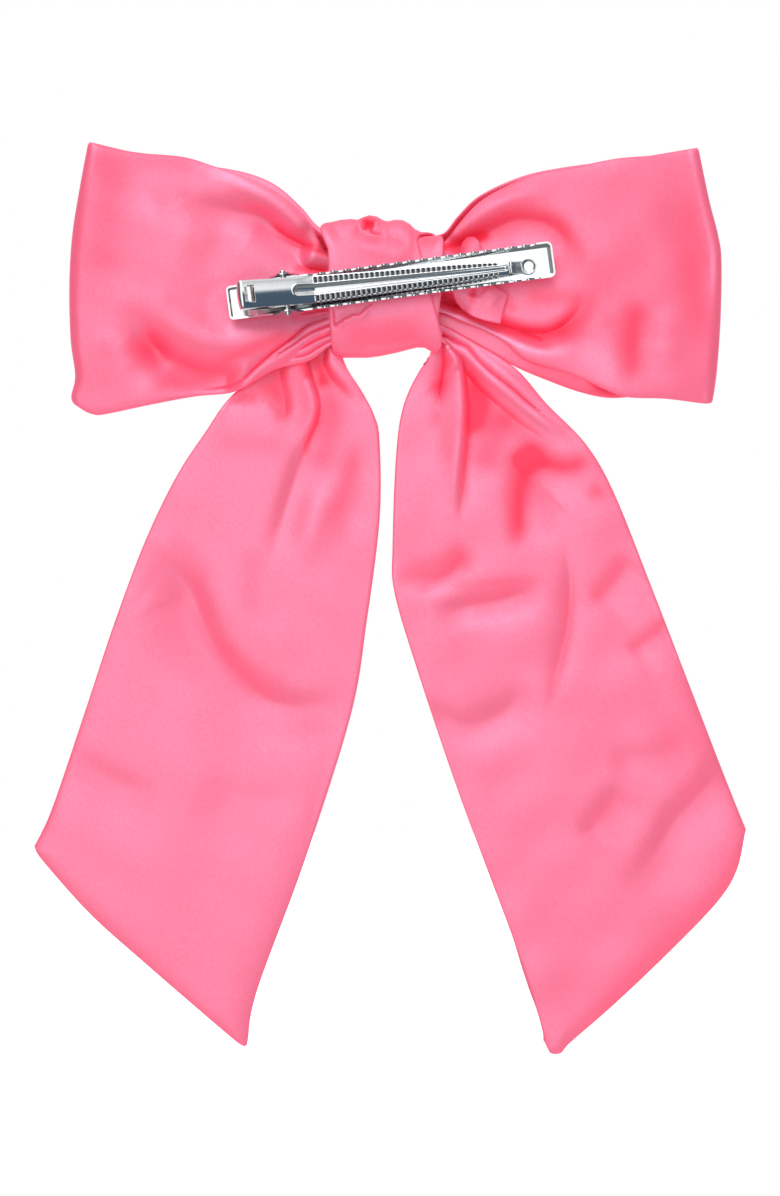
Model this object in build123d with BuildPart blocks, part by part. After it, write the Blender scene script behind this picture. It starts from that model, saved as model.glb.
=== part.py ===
from build123d import *
import os
from math import asin, atan2, cos, degrees, hypot, radians, sin, tan

# A satin bow on a metal alligator clip, worn at the back of the head.
#
# Row frame: +Z up with the tails hanging down, -Y towards the hair and the clip, +Y towards the
# decorative front. The origin is on the hair side of the clip's lower jaw, behind the knot.
# Clip frame: x runs from the handles to the jaw tips, y across the clip, z towards the hair.
# The clip frame's origin is the middle of the lower jaw's floor.

# ---- Driving dimensions: millimetres and degrees ----

# Clip
clip_length = 79.6
clip_tilt = 7.7  # the clip is glued on with its jaw end a little higher
clip_middle = (0.5, 0.7)  # row X and Z of the clip frame's origin
sheet = 0.4  # plated steel sheet of both jaws
running_gap = 0.04  # radial clearance on the hinge pin
side_gap = 0.9  # lever flange to lower jaw ear

# Lower jaw: a shallow tray with flared walls and a scalloped rim
wall_height = 1.8
wall_flare = 20.0
rim_half_width = 4.35
tray_corner_radius = 0.5
handle_wall_end_height = 0.9
scallop_pitch = 3.1
scallop_depth = 0.4
scallop_chord = 2.8
scallop_first_x = -18.0
scallop_count = 18

# Hinge
hinge_x = -25.3
hinge_z = 4.2
pin_radius = 0.55
pin_head_radius = 0.75
pin_head_length = 0.95
ear_radius = 1.9
ear_foot = (-29.3, -21.3)  # where the ears leave the tray's rim

# Lever jaw: one plate, seen from the side as the underside's bends
plate_curl = (-35.9, 8.1)
plate_handle_end = (-35.5, 9.3)
plate_kink = (-18.4, 4.4)
plate_jaw_end = (29.3, 1.25)
plate_tip = ((30.2, 0.75), (31.9, 0.12), (33.4, 0.12))
plate_bend_radius = 0.42
plate_half_widths = ((-35.5, 3.35), (-18.4, 3.25), (3.0, 2.62), (15.0, 2.35), (22.0, 2.0), (29.3, 1.45))
plate_skew = 0.75  # the plate sits a little askew on its flanges
neck_half_width = 1.45
spoon_radius = 1.9
spoon_x = 33.6
spoon_flat_radius = 1.1
spoon_rise = 0.3
tip_bar_radius = 0.35
flange_half_width = 3.3
flange_ends = (-30.0, -20.8)
flange_radius = 1.5
tab_slot_x = -33.1
tab_slot_length = 1.4
tab_slot_width = 3.9

# Groove and grip teeth pressed into the lever
groove_start_x = -23.5
groove_end_x = 28.6
groove_half_width_start = 1.3
groove_half_width_end = 0.62
groove_depth = 0.32
groove_edge = 0.15
tooth_first_x = -17.8
tooth_pitch = 1.24
tooth_count = 36
tooth_valley_radius = 0.38
tooth_valley_depth = 0.24
tooth_ridge_radius = 0.32
tooth_ridge_height = 0.16
tooth_under_radius = 0.45
tooth_under_height = 0.3
tooth_inner_land = 0.3
tooth_outer_land = 0.3

# Leaf spring
spring_thickness = 0.35
spring_half_width = 2.1
spring_pin_gap = 0.1
spring_lower_end = (-36.3, 0.4)
spring_upper_end = (-33.35, 8.1)
spring_hook_half_width = 1.75
spring_hook_rise = 1.08  # along the handle's normal, from the leg to the plate's upper face
spring_hook_length = 1.7
spring_hook_bend = 0.4

# Glue bed
glue_length = 24.0
glue_width = 5.6
glue_thickness = 0.5

# Centre wrap
wrap_left, wrap_right = -13.8, 13.1
wrap_bottom, wrap_top = -17.2, 15.7
wrap_back = sheet + glue_thickness
wrap_front = 13.6
wrap_thickness = 1.1
wrap_corner = 3.6

# Loop band and tail strip: both are doubled satin
band_thickness = 1.0
waist_back, waist_front = 3.2, 11.9
waist_bottom, waist_top = -14.2, 12.7
pleat_depth = 2.0  # extra thickness of the gathered pleats at the waist
flap_thickness = 0.55  # the band's free end, which shows beside the knot
flap_overlap = 0.15
inset_steps = 10  # points along each line of the band that is moved inwards
tail_back, tail_front = 6.4, 8.4

# Sewing thread
thread_radius = 0.2
gather_turns = 4
gather_spacing = 0.9
gather_gap = 0.1
gather_corner = 0.25
stitch_length = 2.4
stitch_count = 5

os.makedirs("parts", exist_ok=True)

clip_plane = Plane(
    origin=(clip_middle[0], 0, clip_middle[1]),
    x_dir=(cos(radians(clip_tilt)), 0, sin(radians(clip_tilt))),
    z_dir=(0, -1, 0),
)


def save(piece, name, in_clip_frame=False):
    """Labels a finished piece and writes its STEP file, moved from the clip frame if it was made there."""
    solid = clip_plane.location * piece.part if in_clip_frame else piece.part
    solid.label = name
    export_step(solid, f"parts/{name}.step")


def plate_underside(x):
    """Height of the lever plate's underside in the clip frame, between the handle end and the jaw end."""
    (x0, z0), (x1, z1) = (
        (plate_handle_end, plate_kink) if x < plate_kink[0] else (plate_kink, plate_jaw_end)
    )
    return z0 + (z1 - z0) * (x - x0) / (x1 - x0)


def between(x, start, end, at_start, at_end):
    """Straight-line value at x of something that is at_start at start and at_end at end."""
    return at_start + (at_end - at_start) * (x - start) / (end - start)


def touch_point(point, centre, radius, side):
    """Point where a straight leg from point touches a circle, on the side (+1 or -1) given."""
    dx, dz = centre[0] - point[0], centre[1] - point[1]
    leg = atan2(dz, dx) - side * asin(radius / hypot(dx, dz))
    return centre[0] + side * radius * sin(leg), centre[1] - side * radius * cos(leg)


# ---- Lower jaw ----

flare_run = (wall_height + sheet) * tan(radians(wall_flare))
tray_length = clip_length - 2 * flare_run
tray_width = 2 * (rim_half_width - flare_run)
tray_inner_step = 2 * sheet * (1 / cos(radians(wall_flare)) - tan(radians(wall_flare)))
ear_inner = flange_half_width + side_gap
ear_outer = ear_inner + sheet

with BuildPart() as base_jaw:
    with BuildSketch(Plane.XY.offset(-sheet)):
        RectangleRounded(tray_length, tray_width, tray_corner_radius)
    extrude(amount=wall_height + sheet, taper=-wall_flare)
    with BuildSketch(Plane.XY):
        RectangleRounded(
            tray_length - tray_inner_step,
            tray_width - tray_inner_step,
            tray_corner_radius / 2,
        )
    extrude(amount=wall_height + sheet, taper=-wall_flare, mode=Mode.SUBTRACT)

    # The handle's walls fall towards its end
    with BuildSketch(Plane.XZ) as handle_slope:
        Polygon(
            (-clip_length / 2 - 1, handle_wall_end_height),
            (ear_foot[0] + 1, wall_height),
            (-clip_length / 2 - 1, wall_height),
            align=None,
        )
    extrude(amount=rim_half_width + 1, both=True, mode=Mode.SUBTRACT)

    # Scalloped rim along both jaws' walls
    scallop_radius = (scallop_chord**2 / 4 + scallop_depth**2) / (2 * scallop_depth)
    scallop_z = wall_height - scallop_depth + scallop_radius
    with Locations(
        [(scallop_first_x + i * scallop_pitch, 0, scallop_z) for i in range(scallop_count)]
    ):
        Cylinder(
            scallop_radius,
            3 * rim_half_width,
            rotation=(90, 0, 0),
            mode=Mode.SUBTRACT,
        )

    # Ears that hold the pin
    with BuildSketch(Plane.XZ.offset(ear_inner)) as ear:
        with Locations((hinge_x, hinge_z)):
            Circle(ear_radius)
        with BuildLine():
            Line((ear_foot[0], wall_height - sheet), (ear_foot[1], wall_height - sheet))
        make_hull()
    extrude(amount=sheet)
    mirror(about=Plane.XZ)
    with Locations((hinge_x, 0, hinge_z)):
        Cylinder(
            pin_radius + running_gap,
            3 * ear_outer,
            rotation=(90, 0, 0),
            mode=Mode.SUBTRACT,
        )
save(base_jaw, "base_jaw", in_clip_frame=True)

# ---- Lever jaw ----


def groove_half_width(x):
    return between(x, groove_start_x, groove_end_x, groove_half_width_start, groove_half_width_end)


def plate_half_width(x):
    """Half the lever plate's width at x."""
    for (x0, half0), (x1, half1) in zip(plate_half_widths, plate_half_widths[1:]):
        if x <= x1:
            break
    return between(x, x0, x1, half0, half1)


def plate_band(low, high):
    """Side view of a band that follows the plate over the groove, from low to high above its underside."""
    start_x = groove_start_x - 2
    line = [(start_x, plate_underside(start_x)), plate_kink, plate_jaw_end]
    lower = [(x, z + low) for x, z in line]
    upper = [(x, z + high) for x, z in reversed(line)]
    return lower + upper


def groove_slot(step):
    """The groove seen from above, a tapered slot widened by step."""
    with BuildSketch(Plane.XY) as slot:
        with Locations((groove_start_x + groove_half_width_start, 0)):
            Circle(groove_half_width_start + step)
        with Locations((groove_end_x - groove_half_width_end, 0)):
            Circle(groove_half_width_end + step)
        make_hull()
    return slot.sketch


def pressed_slot(step, low, high):
    """The groove's slot as a solid that follows the plate from low to high above its underside."""
    slot = groove_slot(step)
    with BuildPart() as pressed:
        with BuildSketch(Plane.XZ):
            Polygon(*plate_band(low, high), align=None)
        extrude(amount=flange_half_width, both=True)
        extrude(slot, amount=4 * hinge_z, mode=Mode.INTERSECT)
    return pressed.part


def tooth_row(shift, radius, above_underside):
    """Round bars across the plate on both sides of the groove, one for each tooth, and each moved by shift."""
    bars = []
    for i in range(tooth_count):
        x = tooth_first_x + i * tooth_pitch + shift
        inner = groove_half_width(x) + tooth_inner_land
        outer = plate_half_width(x) - tooth_outer_land
        z = plate_underside(x) + above_underside
        for side in (-1, 1):
            place = Location((x, side * (inner + outer) / 2, z), (90, 0, 0))
            bars.append(place * Cylinder(radius, outer - inner))
    return bars


groove_bead = pressed_slot(sheet / 2, -groove_depth, 0.05)
groove_cut = pressed_slot(0, sheet - groove_depth, 2 * sheet)
groove_lead = pressed_slot(groove_edge, sheet - groove_edge, 2 * sheet)
tooth_ridges = tooth_row(tooth_pitch / 2, tooth_ridge_radius, sheet + tooth_ridge_height - tooth_ridge_radius)
tooth_valleys = tooth_row(0, tooth_valley_radius, sheet - tooth_valley_depth + tooth_valley_radius)
tooth_grips = tooth_row(0, tooth_under_radius, tooth_under_radius - tooth_under_height)

with BuildPart() as plate:
    with BuildSketch(Plane.XZ):
        with BuildLine():
            FilletPolyline(
                plate_curl,
                plate_handle_end,
                plate_kink,
                plate_jaw_end,
                *plate_tip,
                radius=plate_bend_radius,
            )
            offset(amount=sheet, side=Side.LEFT)
        make_face()
    extrude(amount=flange_half_width + 1, both=True)
    with BuildSketch(Plane.XY):
        near_side = [(x, -half) for x, half in ((-clip_length / 2, 3.35), *plate_half_widths[1:])]
        Polygon(*near_side, *[(x, -y) for x, y in reversed(near_side)], align=None)
        with Locations(((plate_jaw_end[0] + spoon_x) / 2, 0)):
            Rectangle(spoon_x - plate_jaw_end[0] + 1, 2 * neck_half_width)
    extrude(amount=4 * hinge_z, mode=Mode.INTERSECT)

    # Pressed groove and grip teeth
    add(groove_bead)
    add(tooth_grips)
    add(tooth_ridges)
    add([groove_cut, groove_lead], mode=Mode.SUBTRACT)
    add(tooth_valleys, mode=Mode.SUBTRACT)

    # Bar across the end of the jaw, and the dished spoon at its tip
    with Locations((plate_jaw_end[0], 0, plate_jaw_end[1] + sheet)):
        Cylinder(tip_bar_radius, 2 * neck_half_width, rotation=(90, 0, 0))
    spoon_z = plate_tip[-1][1]
    with BuildSketch(Plane.XZ):
        Polygon(
            (spoon_x, spoon_z),
            (spoon_x + spoon_flat_radius, spoon_z),
            (spoon_x + spoon_radius, spoon_z + spoon_rise),
            (spoon_x + spoon_radius, spoon_z + spoon_rise + sheet),
            (spoon_x + spoon_flat_radius, spoon_z + sheet),
            (spoon_x, spoon_z + sheet),
            align=None,
        )
    revolve(axis=Axis((spoon_x, 0, 0), (0, 0, 1)))

    # Slot that the spring's end hooks through
    with Locations((tab_slot_x, 0, plate_underside(tab_slot_x))):
        Box(tab_slot_length, tab_slot_width, 5 * sheet, mode=Mode.SUBTRACT)

with BuildPart() as lever_jaw:
    with Locations(Location((hinge_x, 0, 0), (0, 0, -plate_skew)) * Location((-hinge_x, 0, 0))):
        add(plate.part)
    # Flanges that turn on the pin
    with BuildSketch(Plane.XZ.offset(flange_half_width - sheet)):
        with Locations((hinge_x, hinge_z)):
            Circle(flange_radius)
        with BuildLine():
            Line(*[(x, plate_underside(x) + sheet / 2) for x in flange_ends])
        make_hull()
    extrude(amount=sheet)
    with BuildSketch(Plane.XZ.offset(-flange_half_width)):
        with Locations((hinge_x, hinge_z)):
            Circle(flange_radius)
        with BuildLine():
            Line(*[(x, plate_underside(x) + sheet / 2) for x in flange_ends])
        make_hull()
    extrude(amount=sheet)
    with Locations((hinge_x, 0, hinge_z)):
        Cylinder(
            pin_radius + running_gap,
            3 * flange_half_width,
            rotation=(90, 0, 0),
            mode=Mode.SUBTRACT,
        )
save(lever_jaw, "lever_jaw", in_clip_frame=True)

# ---- Hinge pin ----

head_y = ear_outer + running_gap + pin_head_length / 2
with BuildPart(Plane.XZ) as hinge_pin:
    with Locations((hinge_x, hinge_z, 0)):
        Cylinder(pin_radius, 2 * head_y)
    with Locations((hinge_x, hinge_z, head_y), (hinge_x, hinge_z, -head_y)):
        Cylinder(pin_head_radius, pin_head_length)
    head_rims = hinge_pin.edges().group_by(Axis.Y)
    fillet(head_rims[0] + head_rims[-1], pin_head_length * 0.45)
save(hinge_pin, "hinge_pin", in_clip_frame=True)

# ---- Leaf spring ----

hinge_point = (hinge_x, hinge_z)
coil_radius = pin_radius + spring_pin_gap
lower_touch = touch_point(spring_lower_end, hinge_point, coil_radius, 1)
upper_touch = touch_point(spring_upper_end, hinge_point, coil_radius, -1)
coil_far_side = (hinge_x + coil_radius, hinge_z)
handle_slope = atan2(plate_handle_end[1] - plate_kink[1], plate_kink[0] - plate_handle_end[0])
hook_top = (
    spring_upper_end[0] + spring_hook_rise * sin(handle_slope),
    spring_upper_end[1] + spring_hook_rise * cos(handle_slope),
)
hook_end = (
    hook_top[0] - spring_hook_length * cos(handle_slope),
    hook_top[1] + spring_hook_length * sin(handle_slope),
)
with BuildPart() as leaf_spring:
    with BuildSketch(Plane.XZ):
        with BuildLine():
            Line(spring_lower_end, lower_touch)
            ThreePointArc(lower_touch, coil_far_side, upper_touch)
            FilletPolyline(upper_touch, spring_upper_end, hook_top, hook_end, radius=spring_hook_bend)
            offset(amount=spring_thickness, side=Side.RIGHT)
        make_face()
    extrude(amount=spring_half_width, both=True)
    # The hook is a little narrower than the leaf
    with BuildSketch(Plane.XY.offset(spring_upper_end[1])):
        with Locations((spring_upper_end[0], 0)):
            Rectangle(3 * spring_hook_length, 3 * spring_half_width)
            Rectangle(3 * spring_hook_length, 2 * spring_hook_half_width, mode=Mode.SUBTRACT)
    extrude(amount=4 * hinge_z, mode=Mode.SUBTRACT)
save(leaf_spring, "leaf_spring", in_clip_frame=True)

# ---- Glue bed ----

with BuildPart() as glue_pad:
    with BuildSketch(Plane.XY.offset(-sheet - glue_thickness)):
        SlotOverall(glue_length, glue_width)
    extrude(amount=glue_thickness)
save(glue_pad, "glue_pad", in_clip_frame=True)

# ---- Centre wrap ----


def ring_outline(step, radius):
    """The wrap's outline seen along X, moved inwards by step."""
    with BuildSketch(Plane.YZ.offset(wrap_left)) as outline:
        with Locations(((wrap_back + wrap_front) / 2, (wrap_bottom + wrap_top) / 2)):
            RectangleRounded(
                wrap_front - wrap_back - 2 * step,
                wrap_top - wrap_bottom - 2 * step,
                radius,
            )
    return outline.sketch


wrap_outside = ring_outline(0, wrap_corner)
wrap_inside = ring_outline(wrap_thickness, wrap_corner - wrap_thickness)
with BuildPart() as centre_wrap:
    extrude(wrap_outside, amount=wrap_right - wrap_left)
    extrude(wrap_inside, amount=wrap_right - wrap_left, mode=Mode.SUBTRACT)
save(centre_wrap, "centre_wrap")

# ---- Loop band: one strip that makes both loops ----

# Seen from above, from the waist out to the fold along the back and along the front
right_loop_back = [(14, 3.2), (24, 4.2), (41, 1.4), (58, -1.5), (73, 0.6), (79.4, 9.0)]
right_loop_front = [(14, 11.9), (24, 15.5), (37, 22), (55, 24.2), (73, 19), (79.4, 9.0)]
left_loop_back = [(-14, 3.2), (-24, 3.9), (-41, 1.3), (-56, -1.5), (-70, 0.6), (-76.0, 9.0)]
left_loop_front = [(-14, 11.9), (-24, 15.5), (-36, 22), (-53, 24.2), (-70, 19), (-76.0, 9.0)]

# Seen from the back, the edges of each loop
right_loop_top = [(14, 12.5), (23, 22.3), (37, 27.6), (56, 30.4), (74.5, 33.0)]
right_loop_end = [(74.5, 33.0), (79.6, 9.0), (77.4, -28.6)]
right_loop_bottom = [(77.4, -28.6), (62, -27.4), (45, -25.3), (31, -20.0), (14, -13.5)]
left_loop_top = [(-14, 12.5), (-23, 20.6), (-37, 28.0), (-57, 31.9), (-72.0, 34.4)]
left_loop_end = [(-72.0, 34.4), (-76.2, 2.0), (-75.2, -27.6)]
left_loop_bottom = [(-69.8, -31.3), (-51, -27.9), (-37, -25.3), (-25, -17.5), (-14, -13.5)]

flap_corners = [(-6, -8), (17, -5.8), (23.6, -9.2), (27.5, -8.6), (29.2, -1.9), (25.5, 4), (-6, 8)]


def inset_points(points, side, step):
    """Points step inside a smooth line that leaves the waist sideways and meets the fold squarely."""
    outwards = 1 if points[-1][0] > points[0][0] else -1
    with BuildLine() as line:
        Spline(*points, tangents=[(outwards, 0), (0, side)])
    edge = line.edge()
    inset = []
    for i in range(inset_steps + 1):
        run = edge % (i / inset_steps)
        place = edge @ (i / inset_steps)
        inset.append((place.X - side * outwards * run.Y * step, place.Y + side * outwards * run.X * step))
    return inset


def band_outline(step):
    """The band seen from above; step moves it towards the inside of the loops."""
    with BuildSketch(Plane.XY.offset(-50)) as outline:
        with BuildLine():
            for points, outwards, side in (
                (right_loop_back, 1, 1),
                (right_loop_front, 1, -1),
                (left_loop_back, -1, 1),
                (left_loop_front, -1, -1),
            ):
                Spline(*inset_points(points, side, step), tangents=[(outwards, 0), (0, side)])
            Line((14, waist_back + step), (-14, waist_back + step))
            Line((14, waist_front - step), (-14, waist_front - step))
        make_face()
    return outline.sketch


band_outside = band_outline(0)
band_inside = band_outline(band_thickness)
with BuildPart() as loop_band:
    extrude(band_outside, amount=100)
    extrude(band_inside, amount=100, mode=Mode.SUBTRACT)
    # Trimmed to the loops as they are seen from the back
    with BuildSketch(Plane.XZ.offset(-50)) as back_view:
        with BuildLine():
            Spline(*right_loop_top)
            Spline(*right_loop_end)
            Spline(*right_loop_bottom)
            Polyline(right_loop_bottom[-1], (14, waist_bottom), (-14, waist_bottom), left_loop_bottom[-1])
            Spline(*left_loop_bottom)
            Line(left_loop_end[-1], left_loop_bottom[0])
            Spline(*left_loop_end)
            Spline(*left_loop_top)
            Polyline(left_loop_top[0], (-14, waist_top), (14, waist_top), right_loop_top[0])
        make_face()
    extrude(amount=100, mode=Mode.INTERSECT)
    # Gathered pleats inside the waist
    waist_middle = (waist_bottom + waist_top) / 2
    for y in (
        waist_back + band_thickness + pleat_depth / 2,
        waist_front - band_thickness - pleat_depth / 2,
    ):
        with Locations((0, y, waist_middle)):
            Box(27, pleat_depth, waist_top - waist_bottom)
    # The strip's free end, laid over the waist and out beside the knot
    with BuildSketch(Plane.XZ.offset(-waist_back - flap_overlap)):
        Polygon(*flap_corners, align=None)
    extrude(amount=flap_overlap + flap_thickness)
save(loop_band, "loop_band")

# ---- Tail strip: one strip that makes both tails ----

left_tail_outer = [(-14.3, -8), (-37, -25.7), (-51.4, -46.7), (-66.2, -81.8), (-77.4, -115.7), (-85.2, -135.5)]
left_tail_end = [(-85.2, -135.5), (-72.2, -152), (-47.6, -174.1), (-34.6, -184)]
left_tail_inner = [(-34.6, -184), (-12.6, -115.1), (-3.4, -68), (-2.2, -42), (-5.6, -27), (-14.3, -18.4)]
right_tail_outer = [(13.6, -7), (30.6, -20.1), (51, -42.6), (63.8, -73.1), (79.4, -113.7), (86.4, -131.7)]
right_tail_end = [(86.4, -131.7), (82.8, -145.7), (66.8, -162.6), (41.2, -186)]
right_tail_inner = [(41.2, -186), (17.7, -124.4), (2.4, -77), (1.6, -52), (5.2, -26.5), (13.6, -18.4)]

with BuildPart() as tail_strip:
    with BuildSketch(Plane.XZ.offset(-tail_front)) as tails:
        with BuildLine():
            Spline(*left_tail_outer)
            Spline(*left_tail_end)
            Spline(*left_tail_inner)
            Polyline(
                left_tail_inner[-1],
                (left_tail_inner[-1][0], waist_bottom + gather_gap),
                (right_tail_inner[-1][0], waist_bottom + gather_gap),
                right_tail_inner[-1],
            )
            Spline(*right_tail_inner)
            Spline(*right_tail_end)
            Spline(*right_tail_outer)
            Line(right_tail_outer[0], left_tail_outer[0])
        make_face()
    extrude(amount=tail_front - tail_back)
save(tail_strip, "tail_strip")

# ---- Gathering thread: turns pulled tight round the waist ----

bundle_back = waist_back - flap_thickness
bundle_middle = ((bundle_back + waist_front) / 2, (waist_bottom + waist_top) / 2)
turn_inside = (waist_front - bundle_back + 2 * gather_gap, waist_top - waist_bottom + 2 * gather_gap)
turn_outside = [side + 4 * thread_radius for side in turn_inside]
with BuildPart() as gathering_thread:
    for turn in range(gather_turns):
        turn_x = (turn - (gather_turns - 1) / 2) * gather_spacing
        with BuildSketch(Plane.YZ.offset(turn_x - thread_radius)):
            with Locations(bundle_middle):
                RectangleRounded(*turn_outside, gather_corner + 2 * thread_radius)
                RectangleRounded(*turn_inside, gather_corner, mode=Mode.SUBTRACT)
        extrude(amount=2 * thread_radius)
save(gathering_thread, "gathering_thread")

# ---- Tack stitches that close the wrap's lap beside the clip ----

with BuildPart() as tack_stitches:
    for stitch in range(stitch_count):
        with Locations(
            Location(
                (-11.5 + 2.9 * stitch, wrap_back - thread_radius - 0.01, -8.6 + 0.8 * stitch),
                (0, 65, 0),
            )
        ):
            Cylinder(thread_radius, stitch_length)
save(tack_stitches, "tack_stitches")
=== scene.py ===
"""Looks of an alligator hair clip on a satin bow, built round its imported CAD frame."""
import math

import bmesh
import bpy
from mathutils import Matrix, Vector
import numpy as np


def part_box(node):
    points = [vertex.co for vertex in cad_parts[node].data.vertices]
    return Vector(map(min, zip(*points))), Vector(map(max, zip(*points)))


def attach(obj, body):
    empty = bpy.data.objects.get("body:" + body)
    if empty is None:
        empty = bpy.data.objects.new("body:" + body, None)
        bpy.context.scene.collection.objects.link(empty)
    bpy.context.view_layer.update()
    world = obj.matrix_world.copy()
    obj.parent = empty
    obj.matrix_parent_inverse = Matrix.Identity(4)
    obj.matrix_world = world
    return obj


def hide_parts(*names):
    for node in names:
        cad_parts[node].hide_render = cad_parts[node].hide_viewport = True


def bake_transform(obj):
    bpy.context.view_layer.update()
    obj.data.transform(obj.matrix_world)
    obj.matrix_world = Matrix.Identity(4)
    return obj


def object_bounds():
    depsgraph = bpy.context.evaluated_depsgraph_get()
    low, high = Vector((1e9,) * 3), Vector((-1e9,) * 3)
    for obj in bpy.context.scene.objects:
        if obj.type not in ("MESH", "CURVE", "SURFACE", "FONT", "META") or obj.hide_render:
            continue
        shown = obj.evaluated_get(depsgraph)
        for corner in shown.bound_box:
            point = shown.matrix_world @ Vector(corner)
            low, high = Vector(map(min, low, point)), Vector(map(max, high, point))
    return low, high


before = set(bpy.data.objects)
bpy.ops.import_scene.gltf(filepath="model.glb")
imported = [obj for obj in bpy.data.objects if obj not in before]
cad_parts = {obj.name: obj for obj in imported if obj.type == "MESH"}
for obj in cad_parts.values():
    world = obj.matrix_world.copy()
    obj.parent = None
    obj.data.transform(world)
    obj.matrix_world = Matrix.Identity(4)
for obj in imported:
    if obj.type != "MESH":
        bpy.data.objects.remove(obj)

MM = 0.001
CAD_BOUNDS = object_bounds()
BOW = "bow_and_base"
LEVER = "lever"

# The viewer's eye in mm. Cloth outlines are drawn on the clip's plane, Y = 0, and pushed along the eye's
# sight lines to their real depth.
EYE = np.array((0.5, -430.0, -75.7))
FOCAL_MM = 53.5

# The clip's own frame, in mm: u along it towards the jaws' end, v across it, n out of the tray.
CLIP_TILT = math.radians(7.7)
CLIP_MIDDLE = (0.5, 0.7)        # X and Z of the clip frame's origin
PLATE_SKEW = math.radians(-0.75)
SHEET = 0.4
HINGE = (-25.3, 4.2)            # u, n

CLOTH_HALF = 0.5        # half the thickness of the doubled satin, mm
FOLD_STRENGTH = 1.6     # share of the drawn folds' depth
LOOP_ROWS = 132         # grid across the loop's width
TAIL_ROWS = 110


# ---------------------------------------------------------------- curves and surfaces

def smooth(points, count):
    """Evenly spaced points on the smooth curve through the given ones."""
    points = np.asarray(points, float)
    before = 2 * points[0] - points[1]
    after = 2 * points[-1] - points[-2]
    ends = np.vstack((before, points, after))
    t = np.linspace(0, 1, 16, endpoint=False)[:, None]
    dense = []
    for a, b, c, d in zip(ends, ends[1:], ends[2:], ends[3:]):
        dense.append(0.5 * (2 * b + (c - a) * t + (2 * a - 5 * b + 4 * c - d) * t ** 2
                            + (3 * b - a - 3 * c + d) * t ** 3))
    dense = np.vstack(dense + [points[-1:]])
    steps = np.linalg.norm(np.diff(dense, axis=0), axis=1)
    length = np.concatenate(([0], np.cumsum(steps)))
    even = np.linspace(0, length[-1], count)
    return np.column_stack([np.interp(even, length, dense[:, k]) for k in range(dense.shape[1])])


def at_shares(points, shares):
    """Points at the given shares of the length of the smooth curve through points."""
    fine = smooth(points, 400)
    even = np.linspace(0, 1, len(fine))
    return np.column_stack([np.interp(shares, even, fine[:, k]) for k in range(fine.shape[1])])


def patch(near, far, last, s, t):
    """A grid between near and far, which run along s. It starts on a straight line and ends on last."""
    low = at_shares(near, s)[:, None]
    high = at_shares(far, s)[:, None]
    end = at_shares(last, t)[None]
    along = s[:, None, None]
    across = t[None, :, None]
    ruled = (1 - across) * low + across * high
    low_end, high_end = np.array(near[-1], float), np.array(far[-1], float)
    straight_end = (1 - across) * low_end + across * high_end
    return ruled + along * (end - straight_end)


def to_depth(flat, depth):
    """Pushes points drawn on the plane Y = 0 along the sight lines to their depth Y."""
    drawn = np.stack((flat[..., 0], np.zeros(flat.shape[:-1]), flat[..., 1]), axis=-1)
    return EYE + (drawn - EYE) * ((depth - EYE[1]) / -EYE[1])[..., None]


def ease(x):
    """Smooth step from 0 to 1."""
    x = np.clip(x, 0, 1)
    return x * x * (3 - 2 * x)


def near_path(flat, path):
    """Signed distance to a path, positive on its left, and the share of the path's length, per point."""
    points = flat.reshape(-1, 2)
    line = smooth(path, 6 * len(path))
    best = np.full(len(points), np.inf)
    side = np.ones(len(points))
    share = np.zeros(len(points))
    for k, (a, b) in enumerate(zip(line, line[1:])):
        step = b - a
        t = np.clip((points - a) @ step / (step @ step), 0, 1)
        gap = points - a - t[:, None] * step
        distance = np.hypot(gap[:, 0], gap[:, 1])
        closer = distance < best
        best[closer] = distance[closer]
        side[closer] = np.where(step[0] * gap[:, 1] - step[1] * gap[:, 0] >= 0, 1, -1)[closer]
        share[closer] = ((k + t) / (len(line) - 1))[closer]
    shape = flat.shape[:-1]
    return (best * side).reshape(shape), share.reshape(shape)


def fading(share, fade):
    """Strength along a path. It rises over the first part, falls over the last, and is nil past them."""
    strength = ease(share / max(fade[0], 1e-6)) * ease((1 - share) / max(fade[1], 1e-6))
    strength = np.where(share <= 0, 0 if fade[0] > 0 else 1, strength)
    return np.where(share >= 1, 0 if fade[1] > 0 else 1, strength)


def ridge(flat, path, height, left, right=None, fade=(0.3, 0.3)):
    """A soft ridge along a path, with its own width on each side."""
    distance, share = near_path(flat, path)
    width = np.where(distance > 0, left, right or left)
    return -FOLD_STRENGTH * height * fading(share, fade) * np.exp(-(distance / width) ** 2)


def valley(flat, path, depth, left, right=None, fade=(0.3, 0.3)):
    """A valley along a path, with a fairly sharp bottom and its own width on each side."""
    distance, share = near_path(flat, path)
    width = np.where(distance > 0, left, right or left)
    profile = np.exp(0.2 - np.sqrt((distance / width) ** 2 + 0.04))
    return FOLD_STRENGTH * depth * fading(share, fade) * profile


def slope(flat, path, drop, steep, gentle, fade=(0.3, 0.3)):
    """Cloth that stands high on the left of a path, drops across it, and comes back gently beyond."""
    distance, share = near_path(flat, path)
    from_bottom = distance + 0.7 * steep
    width = np.where(from_bottom > 0, steep, gentle)
    return FOLD_STRENGTH * drop * fading(share, fade) * np.exp(-(from_bottom / width) ** 2)


def profile(points, shares):
    """A smooth profile through (share, depth) points."""
    fine = smooth(points, 300)
    return np.interp(shares, fine[:, 0], fine[:, 1])[:, None]


def pleat(flat, path, height, sharp, soft, reach=9.0):
    """A fold that overlaps along a path: cloth on the left stands proud, and the step softens along it."""
    distance, share = near_path(flat, path)
    width = sharp + (soft - sharp) * share
    strength = height * (1 - ease((share - 0.55) / 0.45))
    lip = np.where(distance > 0, np.exp(-(distance / reach) ** 2), np.exp(-(distance / (0.7 * reach)) ** 2))
    return -strength * np.tanh(distance / width) * lip


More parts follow.
